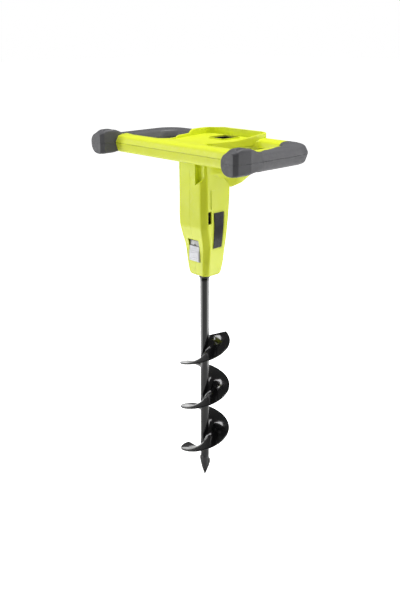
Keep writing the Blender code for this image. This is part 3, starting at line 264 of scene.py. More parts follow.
# ---- handle ----
def edge_profile(top, count=9):
    """A bar's edge from the parting line to its flat: a quadratic B-spline through (inset, height).

    The first two points give the parting line a small chamfer of its own.
    """
    if top:
        control = [[0.0, 0.001], [0.0026, 0.0076], [0.007, 0.0138], [0.017, TUBE_TOP]]
    else:
        control = [[0.0, -0.001], [0.0024, -0.01], [0.006, -0.0182], [0.0155, TUBE_BOTTOM]]
    control = np.array(control)
    ends = np.vstack([control[:1], (control[1:-2] + control[2:-1]) / 2, control[-1:]])
    rows = []
    for start, mid, end in zip(ends, control[1:-1], ends[1:]):
        rows.append(parabola(start, mid, end, np.linspace(0, 1, count, endpoint=False)[:, None]))
    rows = np.vstack(rows + [control[-1:]])
    lip = np.array([[0.0005, math.copysign(SEAM_GAP / 2, rows[0, 1])]])
    flat = rows[-1:] + [[0.0012, 0.0]]
    return np.vstack([lip, rows, flat])


def plan_loops(inset, steps=14):
    """Outer outline and the two hand holes at one inset, always with the same point counts.

    A hole's inner side moves outwards by the deck's flare, which rises smoothly along Y.
    """
    outer = rounded_loop((-HALF_WIDTH + inset, FRONT_Y + inset), (HALF_WIDTH - inset, REAR_Y - inset),
                         np.array((REAR_CORNER, REAR_CORNER, FRONT_CORNER, FRONT_CORNER)) - inset, steps)
    radii = (0.03 + inset, 0.012 + inset, 0.012 + inset, 0.014 + inset)
    right = rounded_loop((DECK_HALF - inset, FRONT_Y + FRONT_BAR - inset),
                         (HALF_WIDTH - RAIL + inset, REAR_Y - RAIL + inset), radii, steps)
    inwards = np.clip((HALF_WIDTH - RAIL - right[:, 0]) / (HALF_WIDTH - RAIL - DECK_HALF), 0, 1)
    right[:, 0] += FLARE * inwards * smoothstep(FLARE_START, FLARE_END, right[:, 1])
    return outer, right, right * [-1, 1]


def half_handle(name, top):
    """The handle above or below the parting plane.

    Each outline is carried inwards along the edge profile, point (x, y) at inset d taking height z(d),
    and the flats between the three innermost and the three outermost outlines are filled.
    """
    profile = edge_profile(top)
    rows = [plan_loops(d) for d, _ in profile]
    bm = bmesh.new()
    for which in range(3):
        loops = np.stack([row[which] for row in rows])
        heights = np.broadcast_to(profile[:, 1][:, None, None], loops.shape[:2] + (1,))
        points = np.concatenate([loops, heights], -1)
        verts = [bm.verts.new(p) for p in points.reshape(-1, 3)]
        for face in grid_faces(*loops.shape[:2]):
            bm.faces.new([verts[i] for i in face])
    bm.edges.ensure_lookup_table()
    rim = [e for e in bm.edges if e.is_boundary]
    for level in (profile[0, 1], profile[-1, 1]):
        edges = [e for e in rim if all(abs(v.co.z - level) < 1e-7 for v in e.verts)]
        bmesh.ops.triangle_fill(bm, edges=edges, use_beauty=True, normal=(0, 0, 1))
    bmesh.ops.recalc_face_normals(bm, faces=bm.faces)
    mesh = bpy.data.meshes.new(name)
    bm.to_mesh(mesh)
    bm.free()
    obj = bpy.data.objects.new(name, mesh)
    bpy.context.scene.collection.objects.link(obj)
    return obj


def duplicate(obj, name):
    """A copy of an object with a mesh of its own."""
    new = bpy.data.objects.new(name, obj.data.copy())
    bpy.context.scene.collection.objects.link(new)
    return new


def rail_zone(name, sign, grow=0.0):
    """The L-shaped region of one grip and its corner block, seen from above."""
    bar = 0.1515 + grow
    end = (GRIP_END_RIGHT if sign > 0 else GRIP_END_LEFT) + grow
    inside = 0.168 if sign > 0 else 0.16
    loop = np.array([(inside, -0.2), (0.3, -0.2), (0.3, 0.2), (end, 0.2), (end, -0.04 - grow),
                     (bar, -0.04 - grow), (bar, GRIP_FRONT_Y), (inside, GRIP_FRONT_Y)])
    return prism(name, loop * [sign, 1], -0.1, 0.1)


def rim_height(x, y):
    """Top of the tray's rim: it rises to the rear, and steps down on the left side."""
    rear = 0.0148 + 0.0088 * smoothstep(0.000, 0.078, y)
    left = 0.012 + 0.003 * smoothstep(-0.011, -0.008, y) + 0.0068 * smoothstep(0.033, 0.037, y)
    side = smoothstep(-0.03, -0.05, x)
    return rear * (1 - side) + np.maximum(left, 0.0115) * side


def flared(loop):
    """A tray outline spread sideways towards the rear, as the deck is."""
    out = loop.copy()
    out[:, 0] *= 1 + FLARE / DECK_HALF * smoothstep(FLARE_START, FLARE_END, loop[:, 1])
    return out


def tray_rim():
    """The battery tray's wall: a rounded wall section carried round the tray's outline.

    At angle s round the outline the section runs up the outside, over a rounded top at rim_height, and
    down the inside.
    """
    section = np.array([[0.0, 0.0], [0.0, 0.6], [0.0, 0.93], [0.0004, 0.985], [0.0012, 1.0], [0.002, 1.0],
                        [0.0028, 1.0], [0.0036, 0.985], [0.004, 0.93], [0.004, 0.6], [0.004, 0.0]])
    base = tray_loop(0.0, spread=False)
    top = rim_height(base[:, 0], base[:, 1])
    rows = [np.column_stack([tray_loop(inset), RIM_FOOT + (top - RIM_FOOT) * share])
            for inset, share in section]
    return surface("tray_rim", np.stack(rows, 1), wrap_cols=True, wrap_rows=True, caps=False)


def tray_loop(inset, spread=True):
    """The tray's outline at one inset."""
    loop = rounded_loop(TRAY_LOW + inset, TRAY_HIGH - inset, np.array(TRAY_CORNERS) - inset, 14)
    loop = resample_fixed(loop, 4)
    return flared(loop) if spread else loop


def well_loop(grow):
    """The battery well's outline, grown by a clearance or a wall."""
    return rounded_loop(WELL_LOW - grow, WELL_HIGH + grow, (0.006 + grow,) * 4, 6)


def seam_height(y):
    """Height of the seam between pod and column: a steady slope, with a drop behind the middle."""
    return SEAM_Z + SEAM_SLOPE * y - 0.013 * smoothstep(0.019, 0.032, y)


def pod_surface(name):
    """The pod under the deck: outlines blended from the column's seam up to the bars.

    At share t up the pod the outline is a rounded rectangle whose sides spread apart towards the rear;
    its half widths, front, rear, height and corner radius run through the listed levels, and its two
    front corners are straight cuts like the column's. The stack is then averaged over five outlines.
    """
    share = np.array([0.0, 0.16, 0.42, 0.72, 1.0])
    half = np.array([0.0376, 0.048, 0.06, 0.07, 0.073])
    front_half = np.array([0.0375, 0.0375, 0.0372, 0.0364, 0.0352])
    front = np.array([-0.0383, -0.0383, -0.0383, -0.0381, -0.0378])
    rear = np.array([0.0394, 0.056, 0.076, 0.087, 0.0895])
    lift = np.array([0.0, 0.1, 0.36, 0.66, 1.0])
    radius = np.array([0.009, 0.01, 0.012, 0.013, 0.013])
    cut = 0.0095
    rows = []
    for t in np.linspace(0, 1, 41):
        h, g, f, r, up, c = (np.interp(t, share, v) for v in (half, front_half, front, rear, lift, radius))
        loop = resample_fixed(rounded_loop((-h, f), (h, r), (c, c, cut, cut), 8), 3)
        along = (loop[:, 1] - f) / (r - f)
        loop[:, 0] *= g / h + (1 - g / h) * smoothstep(0.15, 0.75, along)
        loop[46:55] = np.linspace((-g, f + cut), (cut - g, f), 9)
        loop[54:70, 0] = np.linspace(cut - g, g - cut, 16)
        loop[69:78] = np.linspace((g - cut, f), (g, f + cut), 9)
        bottom = seam_height(-0.0386 + along * 0.078)
        z = bottom + (-0.006 - bottom) * up
        rows.append(np.column_stack([loop, z]))
    points = np.stack(rows)
    kernel = np.array([1, 2, 3, 2, 1]) / 9
    padded = np.concatenate([points[:1]] * 2 + [points] + [points[-1:]] * 2)
    smooth = sum(k * padded[i:i + len(points)] for i, k in enumerate(kernel))
    smooth[0] = points[0]
    return surface(name, smooth, sharp=50.0)


def corner_pocket(grow=0.0):
    """The recess in the front right corner under the bar, with a ledge that slopes down outwards.

    The column's copy is grown a little, so that its walls and the pod's never coincide.
    """
    left, right = 0.015 - grow, 0.033 + grow
    front, back, top = -0.064, -0.0295 + grow, -0.0215
    corners = [(left, front, -0.083), (right, front, -0.07), (right, front, top),
               (left, front, top), (left, back, -0.06), (right, back, -0.049),
               (right, back, top), (left, back, top)]
    faces = [(0, 1, 2, 3), (7, 6, 5, 4), (0, 4, 5, 1), (1, 5, 6, 2), (2, 6, 7, 3), (3, 7, 4, 0)]
    return link_mesh("corner_pocket", corners, faces, smooth=False)


def make_handle(finish):
    """Upper and lower lime shells, and the four grip covers with their openings."""
    pieces = {}
    for top in (True, False):
        level = "upper" if top else "lower"
        whole = half_handle("whole_" + level, top)
        shell = duplicate(whole, "handle_shell_" + level)
        combine(shell, [rail_zone("zone_r", 1), rail_zone("zone_l", -1)], "DIFFERENCE")
        for side, sign in (("right", 1), ("left", -1)):
            grip = duplicate(whole, f"grip_cover_{side}_{level}")
            combine(grip, [rail_zone("zone", sign, 0.0004)], "INTERSECT")
            slice_keep(grip, (0, GRIP_FRONT_Y, 0), (0, 1, 0))
            pieces[side, level] = grip
        bpy.data.objects.remove(whole, do_unlink=True)
        pieces["shell", level] = shell
    upper = pieces["shell", "upper"]
    combine(upper, [prism("tray", tray_loop(0.002), TRAY_FLOOR, 0.06)], "DIFFERENCE")
    boss = prism("boss", well_loop(0.0022), 0.006, TRAY_FLOOR + 0.0024)
    combine(upper, [tray_rim(), boss], "UNION")
    combine(upper, [prism("well", well_loop(0.0003), -0.05, 0.06)], "DIFFERENCE")
    lower = pieces["shell", "lower"]
    combine(lower, [pod_surface("pod")], "UNION")
    combine(lower, [prism("well", well_loop(0.0003), WELL_FLOOR, 0.06), corner_pocket()], "DIFFERENCE")
    room = 0.0004
    for level in ("upper", "lower"):
        holes = [opening_for("trigger", (0.0204, room, room), (0.0054, room, room)),
                 opening_for("lock_off_button", (0.0204, room, room), (0.0034, room, room))]
        combine(pieces["right", level], holes, "DIFFERENCE")
    combine(upper, [opening_for("direction_switch", (0.0044, room, room), (0.0044, 0.0204, room))],
            "DIFFERENCE")
    for (kind, level), obj in pieces.items():
        tidy_normals(obj)
        soften(shade(obj, 32), 0.00045, 2, 32)
        if kind == "shell":
            place(obj, "frame_body", "lime_shell", finish["lime"], f"handle_{level}_shell")
        else:
            place(obj, "frame_body", "grey_grip", finish["grip"], f"grip_{kind}_{level}")


def lime_strip(finish):
    """The thin lime inlay on the right grip's inner shoulder, tapering to the rear.

    At (s, t) the point lies at inset d = start plus t times a width that shrinks along the rail,
    0.2 mm proud of the edge profile's height z(d).
    """
    profile = edge_profile(True)[1:]
    s = np.linspace(0, 1, 40)[:, None]
    t = np.linspace(0, 1, 12)[None, :]
    y = GRIP_FRONT_Y + 0.0015 + 0.095 * s + 0.0 * t
    width = 0.019 * (1 - 0.88 * smoothstep(0.25, 1.0, s))
    inset = 0.0065 + 0.006 * (1 - smoothstep(-0.055, -0.03, y)) + width * t
    x = HALF_WIDTH - RAIL + inset
    z = np.interp(inset, profile[:, 0], profile[:, 1]) + 0.0002
    strip = open_sheet("lime_inlay_right", np.stack([x, y, z], -1), (0, 0, 1), 0.0008)
    place(strip, "frame_body", "lime_shell", finish["lime"])


# ---- corner blocks ----
def block_rings(shift):
    """One corner block: a D-shaped section carried back along Y.

    The section's left side is a super-ellipse (exponent 2.3) and its right side a flat with rounded
    corners; half sizes shrink to the grip's towards the rear, a 45 degree chamfer takes the front edge,
    and an oval hollow is pressed into the top.
    """
    y = np.concatenate([[-0.115, -0.1147, -0.1141], np.linspace(-0.1133, -0.0572, 70), [-0.0562, -0.0553]])
    shrink = np.concatenate([[0.0009, 0.0003, 0.0], np.zeros(70), [0.0003, 0.001]])
    left = np.interp(y, [-0.115, -0.085, -0.055], [0.1562, 0.1545, 0.1515]) + shrink
    right = np.interp(y, [-0.109, -0.085, -0.055], [0.1905, 0.196, 0.1955]) - shrink
    chamfer = 0.184 + np.maximum(y + 0.115, 0.0) * 1.08
    right = np.minimum(right, chamfer - shrink * 0.3)
    high = 0.018 + 0.0065 * smoothstep(-0.116, -0.1, y) - shrink
    high = high - 0.0095 * smoothstep(-0.09, -0.056, y)
    low = np.interp(y, [-0.115, -0.09, -0.075, -0.055], [-0.0203, -0.019, -0.0165, -0.014]) + shrink
    belly = np.interp(y, [-0.115, -0.08, -0.055], [0.0205, 0.02, 0.012])
    angle = np.radians(np.linspace(90, 270, 61))
    power = 2.0 / 2.3
    cx = -np.abs(np.cos(angle)) ** power
    cz = np.sign(np.sin(angle)) * np.abs(np.sin(angle)) ** power
    corner = np.radians(np.linspace(-90, 0, 8))
    round_r = 0.0045
    rows = []
    for k in range(len(y)):
        centre = left[k] + belly[k]
        bx = centre + belly[k] * cx
        bz = np.where(cz > 0, high[k], -low[k]) * cz
        flat_low = np.linspace(centre, right[k] - round_r, 12)[1:-1]
        low_x = right[k] - round_r + round_r * np.cos(corner)
        low_z = low[k] + round_r + round_r * np.sin(corner)
        side_z = np.linspace(low[k] + round_r, high[k] - round_r, 14)[1:-1]
        high_x = low_x[::-1]
        high_z = high[k] - round_r - round_r * np.sin(corner[::-1])
        flat_high = np.linspace(right[k] - round_r, centre, 22)[1:-1]
        x = np.concatenate([bx, flat_low, low_x, np.full(12, right[k]), high_x, flat_high])
        z = np.concatenate([bz, np.full(10, low[k]), low_z, side_z, high_z, np.full(20, high[k])])
        rows.append(np.column_stack([x, np.full(len(x), y[k]), z]))
    points = np.stack(rows)
    radius = np.hypot((points[..., 0] - 0.1835) / 0.0062, (points[..., 1] + 0.0925) / 0.015)
    press = (1 - smoothstep(0.74, 1.0, radius)) * (points[..., 2] > 0.012)
    points[..., 2] -= 0.0028 * press
    points[..., 0] += shift
    return points


def make_blocks(finish):
    """Both corner blocks, each split at the parting plane."""
    for side, shift in (("right", 0.0), ("left", BLOCK_SHIFT)):
        rings = block_rings(shift)
        for level, sign in (("upper", 1), ("lower", -1)):
            block = surface(f"corner_{side}_{level}", rings, sharp=38.0)
            slice_keep(block, (0, 0, sign * SEAM_GAP / 2), (0, 0, sign))
            soften(shade(block, 38), 0.0004, 2, 40)
            place(block, "frame_body", "grey_grip", finish["grip"], f"corner_block_{side}_{level}")


# ---- column ----
# height, half width, front depth, rear depth, corner chamfer
COLUMN_LEVELS = np.array([
    (-0.045, 0.037, 0.038, 0.0386, 0.009),
    (-0.088, 0.0372, 0.0378, 0.0386, 0.009),
    (-0.126, 0.038, 0.038, 0.035, 0.009),
    (-0.146, 0.0378, 0.0372, 0.033, 0.0092),
    (-0.169, 0.0361, 0.0315, 0.0322, 0.0094),
    (-0.183, 0.0342, 0.0276, 0.0316, 0.0094),
    (-0.194, 0.0328, 0.0262, 0.0306, 0.0092),
    (-0.219, 0.0296, 0.025, 0.0296, 0.0086),
    (-0.239, 0.0268, 0.0226, 0.0262, 0.008),
    (COLUMN_BOTTOM, 0.0245, 0.0205, 0.0238, 0.0076)])


def column_sizes(z, softness=0.003):
    """Half width, front, rear and chamfer at heights z: the listed levels averaged over a short span."""
    offsets = np.linspace(-softness, softness, 7)
    order = COLUMN_LEVELS[::-1]
    z = np.asarray(z, float)
    return [np.mean([np.interp(z + o, order[:, 0], order[:, k]) for o in offsets], axis=0)
            for k in (1, 2, 3, 4)]


def column_surface(name, high, inset=0.0, low=COLUMN_BOTTOM):
    """The column: an eight-sided outline with rounded corners, its sizes running down the levels.

    Each corner of the octagon is cut back along both its sides and joined by a parabola.
    """
    z = np.concatenate([np.linspace(high, low + 0.003, 90), low + np.array([0.0018, 0.0008, 0.0])])
    half, front, rear, chamfer = column_sizes(z)
    lip = np.concatenate([np.zeros(90), [0.0002, 0.0008, 0.002]])
    half = half - inset - lip
    front = front - inset - lip
    rear = rear - inset - lip
    c = chamfer - inset * 0.4
    corners = np.stack([
        np.stack([half, -front + c], -1), np.stack([half, rear - c], -1), np.stack([half - c, rear], -1),
        np.stack([-half + c, rear], -1), np.stack([-half, rear - c], -1), np.stack([-half, -front + c], -1),
        np.stack([-half + c, -front], -1), np.stack([half - c, -front], -1)], 1)
    before = np.roll(corners, 1, axis=1)
    after = np.roll(corners, -1, axis=1)
    reach = 0.0026
    to_before = (before - corners) / np.linalg.norm(before - corners, axis=-1, keepdims=True)
    to_after = (after - corners) / np.linalg.norm(after - corners, axis=-1, keepdims=True)
    t = np.linspace(0, 1, 6)[None, None, :, None]
    start = (corners + to_before * reach)[:, :, None, :]
    end = (corners + to_after * reach)[:, :, None, :]
    middle = corners[:, :, None, :]
    loop = parabola(start, middle, end, t).reshape(len(z), -1, 2)
    points = np.concatenate([loop, np.broadcast_to(z[:, None, None], loop.shape[:2] + (1,))], -1)
    return surface(name, points, sharp=60.0)


def make_column(finish):
    """Both housing halves: a walled column cut for the selector, corner recess, vents, plates and bit."""
    shell = column_surface("column", COLUMN_TOP)
    cavity = column_surface("cavity", COLUMN_TOP + 0.0008, inset=COLUMN_WALL, low=-0.241)
    lining = block_solid("pocket_lining", (0.0128, -0.07, -0.075), (0.05, -0.0272, -0.01))
    combine(shell, [combine(cavity, [lining], "DIFFERENCE")], "DIFFERENCE")
    width = SELECTOR_HALF + 0.0004
    floor_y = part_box("selector_track")[1].y + 0.0003
    cutters = [block_solid("pocket", (-width, -0.1, SELECTOR_BOTTOM - 0.0006), (width, floor_y, -0.1722)),
               block_solid("slot", (-0.003, -0.1, -0.208), (0.003, -0.018, -0.183))]
    mouth = rounded_loop((-0.0112, -0.0112), (0.0112, 0.0112), (0.0112,) * 4, 8)
    cutters.append(prism("mouth", mouth, COLUMN_BOTTOM - 0.01, COLUMN_BOTTOM + 0.012))
    cutters.append(corner_pocket(0.0004))
    for sign in (-1, 1):
        x0, x1 = sorted((sign * 0.0345, sign * 0.06))
        cutters.append(block_solid("vent", (x0, -0.02, -0.111), (x1, -0.0182, -0.075)))
        cutters.append(block_solid("vent", (x0, -0.027, -0.138), (x1, -0.018, -0.1145)))
        cutters.append(pad_groove(sign))
    combine(shell, cutters, "DIFFERENCE")
    for side, sign in (("left", -1), ("right", 1)):
        half = duplicate(shell, "housing_half_" + side)
        slice_keep(half, (sign * SEAM_GAP / 2, 0, 0), (sign, 0, 0))
        tidy_normals(half)
        soften(shade(half, 38), 0.00035, 2, 38)
        place(half, "frame_body", "lime_shell", finish["lime"], "housing_" + side)
    bpy.data.objects.remove(shell, do_unlink=True)


def plate_outline(grow, count=6):
    """The name plate's outline in (y, z): a rounded quadrilateral that narrows downwards."""
    top, bottom = PLATE_TOP + grow, PLATE_TOP - PLATE_LONG - grow
    front, rear = PLATE_FRONT - grow, PLATE_REAR + grow
    corners = np.array([[rear, top], [front, top],
                        [front + PLATE_TAPER, bottom], [rear - PLATE_TAPER, bottom]])
    radius = PLATE_CORNER + grow * 0.5
    out = []
    for k in range(4):
        here, prev, nxt = corners[k], corners[k - 1], corners[(k + 1) % 4]
        a = here + (prev - here) / np.linalg.norm(prev - here) * radius
        b = here + (nxt - here) / np.linalg.norm(nxt - here) * radius
        out.append(parabola(a, here, b, np.linspace(0, 1, count)[:, None]))
    return np.vstack(out)


def on_side(sign, outline, depth):
    """Points of a (y, z) outline set on a side panel, depth metres outside it."""
    x = column_sizes(outline[:, 1])[0] + depth
    return np.column_stack([sign * x, outline[:, 0], outline[:, 1]])


def pad_groove(sign):
    """A shallow frame round the name plate: a band between two outlines, 0.7 mm deep."""
    rows = [on_side(sign, resample(plate_outline(g), 0.0015)[:180], d) for g, d in
            ((0.0026, 0.004), (0.0026, -0.0007), (0.0015, -0.0007), (0.0015, 0.004))]
    count = min(len(r) for r in rows)
    rows = [r[np.linspace(0, len(r), count, endpoint=False).astype(int)] for r in rows]
    return surface("pad_groove", np.stack(rows, 1), wrap_cols=True, wrap_rows=True, caps=False)


def make_name_plates(finish):
    """Blank plates on both sides: a grid over a tapering quadrilateral, standing 1.1 mm off the panel.

    The height over the panel falls off at the rounded outline, with a quarter-round edge.
    """
    for side, sign in (("left", -1), ("right", 1)):
        v = np.linspace(0, 1, 121)[:, None]
        u = np.linspace(0, 1, 61)[None, :]
        front = PLATE_FRONT + PLATE_TAPER * v
        rear = PLATE_REAR - PLATE_TAPER * v
        y = front + (rear - front) * u
        z = PLATE_TOP - PLATE_LONG * v + 0.0 * u
        across = np.minimum(u, 1 - u) * (rear - front)
        along = np.minimum(v, 1 - v) * PLATE_LONG + 0.0 * u
        reach = np.hypot(np.maximum(PLATE_CORNER - across, 0), np.maximum(PLATE_CORNER - along, 0))
        inside = PLATE_CORNER - reach
        edge = np.clip(inside / 0.0009, 0, 1)
        rise = 0.0011 * np.sqrt(1 - (1 - edge) ** 2) - 0.0008 * (inside < 0)
        x = column_sizes(z[:, 0])[0][:, None] + 0.0001 + rise
        plate = open_sheet("blank_plate_" + side, np.stack([sign * x, y, z], -1), (sign, 0, 0), 0.0009)
        place(plate, "frame_body", "black_plastic", finish["plate"], "name_plate_" + side)


def make_selector(finish):
    """The speed selector: a rounded slab with a sloping thumb face, three ribs and a crease."""
    front_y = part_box("speed_selector")[0].y
    back_y = front_y + 0.007
    uu, vv = np.meshgrid(np.linspace(0, 1, 41), np.linspace(0, 1, 61))
    x = SELECTOR_HALF * (2 * uu - 1)
    z = SELECTOR_BOTTOM + SELECTOR_LONG * vv
    face = front_y + 0.0004 + 0.0012 * smoothstep(0.6, 0.72, vv)
    ribs = 0.0007 * np.clip(np.cos((vv - 0.22) * 2 * np.pi / 0.13), 0, 1) * (vv > 0.06) * (vv < 0.52)
    face = face - ribs * smoothstep(0.06, 0.14, uu) * (1 - smoothstep(0.86, 0.94, uu)) * 0.5
    edge = np.minimum(np.minimum(uu, 1 - uu) * 2 * SELECTOR_HALF, np.minimum(vv, 1 - vv) * SELECTOR_LONG)
    face = face + 0.0014 * (1 - np.sqrt(np.clip(1 - (1 - np.clip(edge / 0.0016, 0, 1)) ** 2, 0, 1)))
    slab = surface("speed_thumb_slide", np.stack([x, face, z], -1), wrap_cols=False, caps=False)
    bm = bmesh.new()
    bm.from_mesh(slab.data)
    rim = [e for e in bm.edges if e.is_boundary]
    wall = bmesh.ops.extrude_edge_only(bm, edges=rim)["geom"]
    verts = [g for g in wall if isinstance(g, bmesh.types.BMVert)]
    to_back = Matrix.Translation((0, 0.0002 - back_y, 0))
    bmesh.ops.scale(bm, vec=(1, 0, 1), space=to_back, verts=verts)
    edges = [g for g in wall if isinstance(g, bmesh.types.BMEdge) and g.is_boundary]
    bmesh.ops.triangle_fill(bm, edges=edges, use_beauty=True)
    bmesh.ops.recalc_face_normals(bm, faces=bm.faces)
    bm.to_mesh(slab.data)
    bm.free()
    stem = block_solid("stem", (-0.0024, back_y - 0.002, -0.2064), (0.0024, -0.02, -0.2016))
    shade(combine(slab, [stem], "UNION"), 45)
    place(slab, "selector_slide", "silver_plastic", finish["silver"], "speed_selector")


def make_board(finish):
    """The circuit card inside the handle, with its four components."""
    top = -0.0314
    card = block_solid("circuit_card", (-0.026, -0.028, top - 0.0016), (0.026, 0.018, top))
    layout = ((-0.014, -0.02, 0.01, 0.01, 0.008), (0.014, -0.02, 0.01, 0.01, 0.008),
              (-0.012, 0.004, 0.012, 0.012, 0.005), (0.013, 0.004, 0.014, 0.008, 0.003))
    parts = [block_solid("component", (x - w / 2, y - d / 2, -0.032), (x + w / 2, y + d / 2, top + h))
             for x, y, w, d, h in layout]
    combine(card, parts, "UNION")
    soften(card, 0.0003, 2, 30)
    place(card, "frame_body", "board_green", finish["board"], "control_board")


# ---- bit ----
def turned(name, profile, count=64):
    """A profile of (radius, height) turned about Z: (r cos a, r sin a, z), closed near the axis."""
    radius, height = np.asarray(profile, float).T[:, :, None]
    a = np.linspace(0, 2 * np.pi, count, endpoint=False)
    return surface(name, np.stack([radius * np.cos(a), radius * np.sin(a), height + 0.0 * a], -1), sharp=35.0)


def make_shaft(finish):
    """The bit's tube: a turned profile with eased ends and the spindle's socket in its top."""
    run = np.linspace(SHAFT_TOP - 0.0012, SHAFT_BOTTOM + 0.0012, 60)[1:-1]
    profile = [(AXIS_R, SOCKET_FLOOR), (SOCKET_R, SOCKET_FLOOR), (SOCKET_R, SHAFT_TOP),
               (SHAFT_R - 0.0012, SHAFT_TOP), (SHAFT_R - 0.0005, SHAFT_TOP - 0.0002),
               (SHAFT_R, SHAFT_TOP - 0.0012)]
    profile += [(SHAFT_R, z) for z in run]
    profile += [(SHAFT_R, SHAFT_BOTTOM + 0.0008), (SHAFT_R - 0.0006, SHAFT_BOTTOM), (AXIS_R, SHAFT_BOTTOM)]
    place(turned("bit_shaft", profile, 96), "bit", "black_enamel", finish["enamel"], "auger_shaft")


def flight_height(angle):
    """One pitch a turn, and 0.6 of that below the knee."""
    above = np.maximum(angle, FLIGHT_KNEE)
    return FLIGHT_ZERO + PITCH / (2 * math.pi) * (above + 0.6 * (angle - above))


def make_flight(finish):
    """The helical plate: (r cos a, r sin a, h(a) + offset), with a rounded rim and a weld at the root.

    h rises one pitch a turn, and is laid flatter over the last part, which ends in a ground cutting lip.
    """
    inner = SHAFT_R - 0.0006
    half = FLIGHT_HALF
    upper = [(inner, 0.0042), (inner + 0.0012, 0.0026), (inner + 0.003, 0.0016), (inner + 0.006, half)]
    upper += [(r, half) for r in np.linspace(inner + 0.011, FLIGHT_R - 0.0016, 12)]
    upper += [(FLIGHT_R - 0.0006, half * 0.86), (FLIGHT_R - 0.0001, half * 0.45), (FLIGHT_R, 0.0)]
    upper = np.array(upper)
    radius, offset = np.vstack([upper, upper[::-1][1:] * [1, -1]]).T
    angle = np.linspace(FLIGHT_TOP, FLIGHT_LIP, 620)[:, None]
    from_end = np.minimum(np.abs(angle - FLIGHT_TOP), np.abs(angle - FLIGHT_LIP) * 0.35)
    thin = 0.35 + 0.65 * smoothstep(0.0, 0.02, from_end)
    height = flight_height(angle) + offset * thin
    points = np.stack([radius * np.cos(angle), radius * np.sin(angle), height], -1)
    place(surface("bit_flight", points, sharp=50.0), "bit", "black_enamel", finish["enamel"], "auger_flight")


def make_tip(finish):
    """The spear tip: a flat outline whose rim thins to an edge, on a turned root.

    Outlines at several insets towards the spine take growing half thicknesses.
    """
    outline = np.array([(-0.0098, -0.656), (-0.009, -0.6524), (0.0076, -0.6524), (0.008, -0.6575),
                        (0.01, -0.66), (0.0102, -0.668), (0.0072, -0.679), (0.0012, -0.696),
                        (0.0, -0.6977), (-0.0012, -0.696), (-0.006, -0.679), (-0.0085, -0.666)])
    outline[:, 0] *= 1.08
    fine = np.vstack([np.linspace(a, b, 6, endpoint=False)
                      for a, b in zip(outline, np.roll(outline, -1, axis=0))])
    spine = np.column_stack([fine[:, 0] * 0.0, np.clip(fine[:, 1], -0.685, -0.6545)])
    layers = [(0.5, -0.0028), (0.2, -0.0026), (0.0, -0.0008), (0.0, 0.0008), (0.2, 0.0026), (0.5, 0.0028)]
    along = np.array([math.cos(TIP_TURN), math.sin(TIP_TURN)])
    across = np.array([-along[1], along[0]])
    rows = []
    for share, thickness in layers:
        flat = fine + (spine - fine) * share
        rows.append(np.column_stack([flat[:, :1] * along + thickness * across, flat[:, 1]]))
    blade = surface("spear_blade", np.stack(rows), sharp=28.0)
    root = turned("root", [(AXIS_R, -0.6523), (0.0074, -0.6523), (0.0079, -0.653), (0.0079, -0.67),
                           (0.0072, -0.673), (0.002, -0.6895), (AXIS_R, -0.69)], 48)
    soften(shade(combine(blade, [root], "UNION"), 28), 0.0003, 2, 35)
    place(blade, "bit", "black_enamel", finish["enamel_worn"], "spear_tip")


# ---- finishes ----
def new_group(name, inputs, outputs):
    """A shader node group with named sockets: (name, kind, default) in, (name, kind) out."""
    tree = bpy.data.node_groups.new(name, "ShaderNodeTree")
    for label, kind, value in inputs:
        item = tree.interface.new_socket(name=label, in_out="INPUT", socket_type="NodeSocket" + kind)
        item.default_value = value
    for label, kind in outputs:
        tree.interface.new_socket(name=label, in_out="OUTPUT", socket_type="NodeSocket" + kind)
    return tree, tree.nodes.new("NodeGroupInput"), tree.nodes.new("NodeGroupOutput")


def add(tree, kind, **values):
    """A node with its properties set and its inputs filled by name."""
    node = tree.nodes.new(kind)
    for key, value in values.items():
        if key in node.inputs.keys():
            node.inputs[key].default_value = value
        else:
            setattr(node, key, value)
    return node


def feed(tree, socket, value):
    """Put a number or colour on a socket, or link an output to it."""
    if isinstance(value, bpy.types.NodeSocket):
        tree.links.new(value, socket)
    else:
        socket.default_value = value


def arithmetic(tree, operation, a, b):
    """The result of one sum on two values."""
    node = add(tree, "ShaderNodeMath", operation=operation)
    feed(tree, node.inputs[0], a)
    feed(tree, node.inputs[1], b)
    return node.outputs[0]


def ramp(tree, value, low, high, out_low=0.0, out_high=1.0):
    """Low to high carried to out_low to out_high, and held beyond."""
    node = tree.nodes.new("ShaderNodeMapRange")
    for label, number in (("Value", value), ("From Min", low), ("From Max", high),
                          ("To Min", out_low), ("To Max", out_high)):
        feed(tree, node.inputs[label], number)
    return node.outputs["Result"]


def blend_colour(tree, factor, a, b):
    """Colour a where factor is 0, and b where it is 1."""
    node = add(tree, "ShaderNodeMix", data_type="RGBA")
    for index, value in ((0, factor), (6, a), (7, b)):
        feed(tree, node.inputs[index], value)
    return node.outputs[2]


def noise(tree, vector, scale, detail=3.0):
    """Fractal noise, 0 to 1."""
    node = add(tree, "ShaderNodeTexNoise", Detail=detail, Roughness=0.55)
    feed(tree, node.inputs["Vector"], vector)
    feed(tree, node.inputs["Scale"], scale)
    return node.outputs["Fac"]


def surface_group(name, extra):
    """A finish's node group with the sockets that every finish has, and its coordinates."""
    inputs = [(label, "Color", (0.5, 0.5, 0.5, 1.0)) for label in ("Colour", "Shade", "Worn And Highlight")]
    inputs += [(label, "Float", 0.5) for label in ("Gloss Low", "Gloss High", "Wear And Highlight Amount") + extra]
    outputs = [("Colour", "Color"), ("Roughness", "Float"), ("Height", "Float")]
    tree, given, out = new_group(name, inputs, outputs)
    return tree, given.outputs, out.inputs, tree.nodes.new("ShaderNodeTexCoord").outputs["Object"]


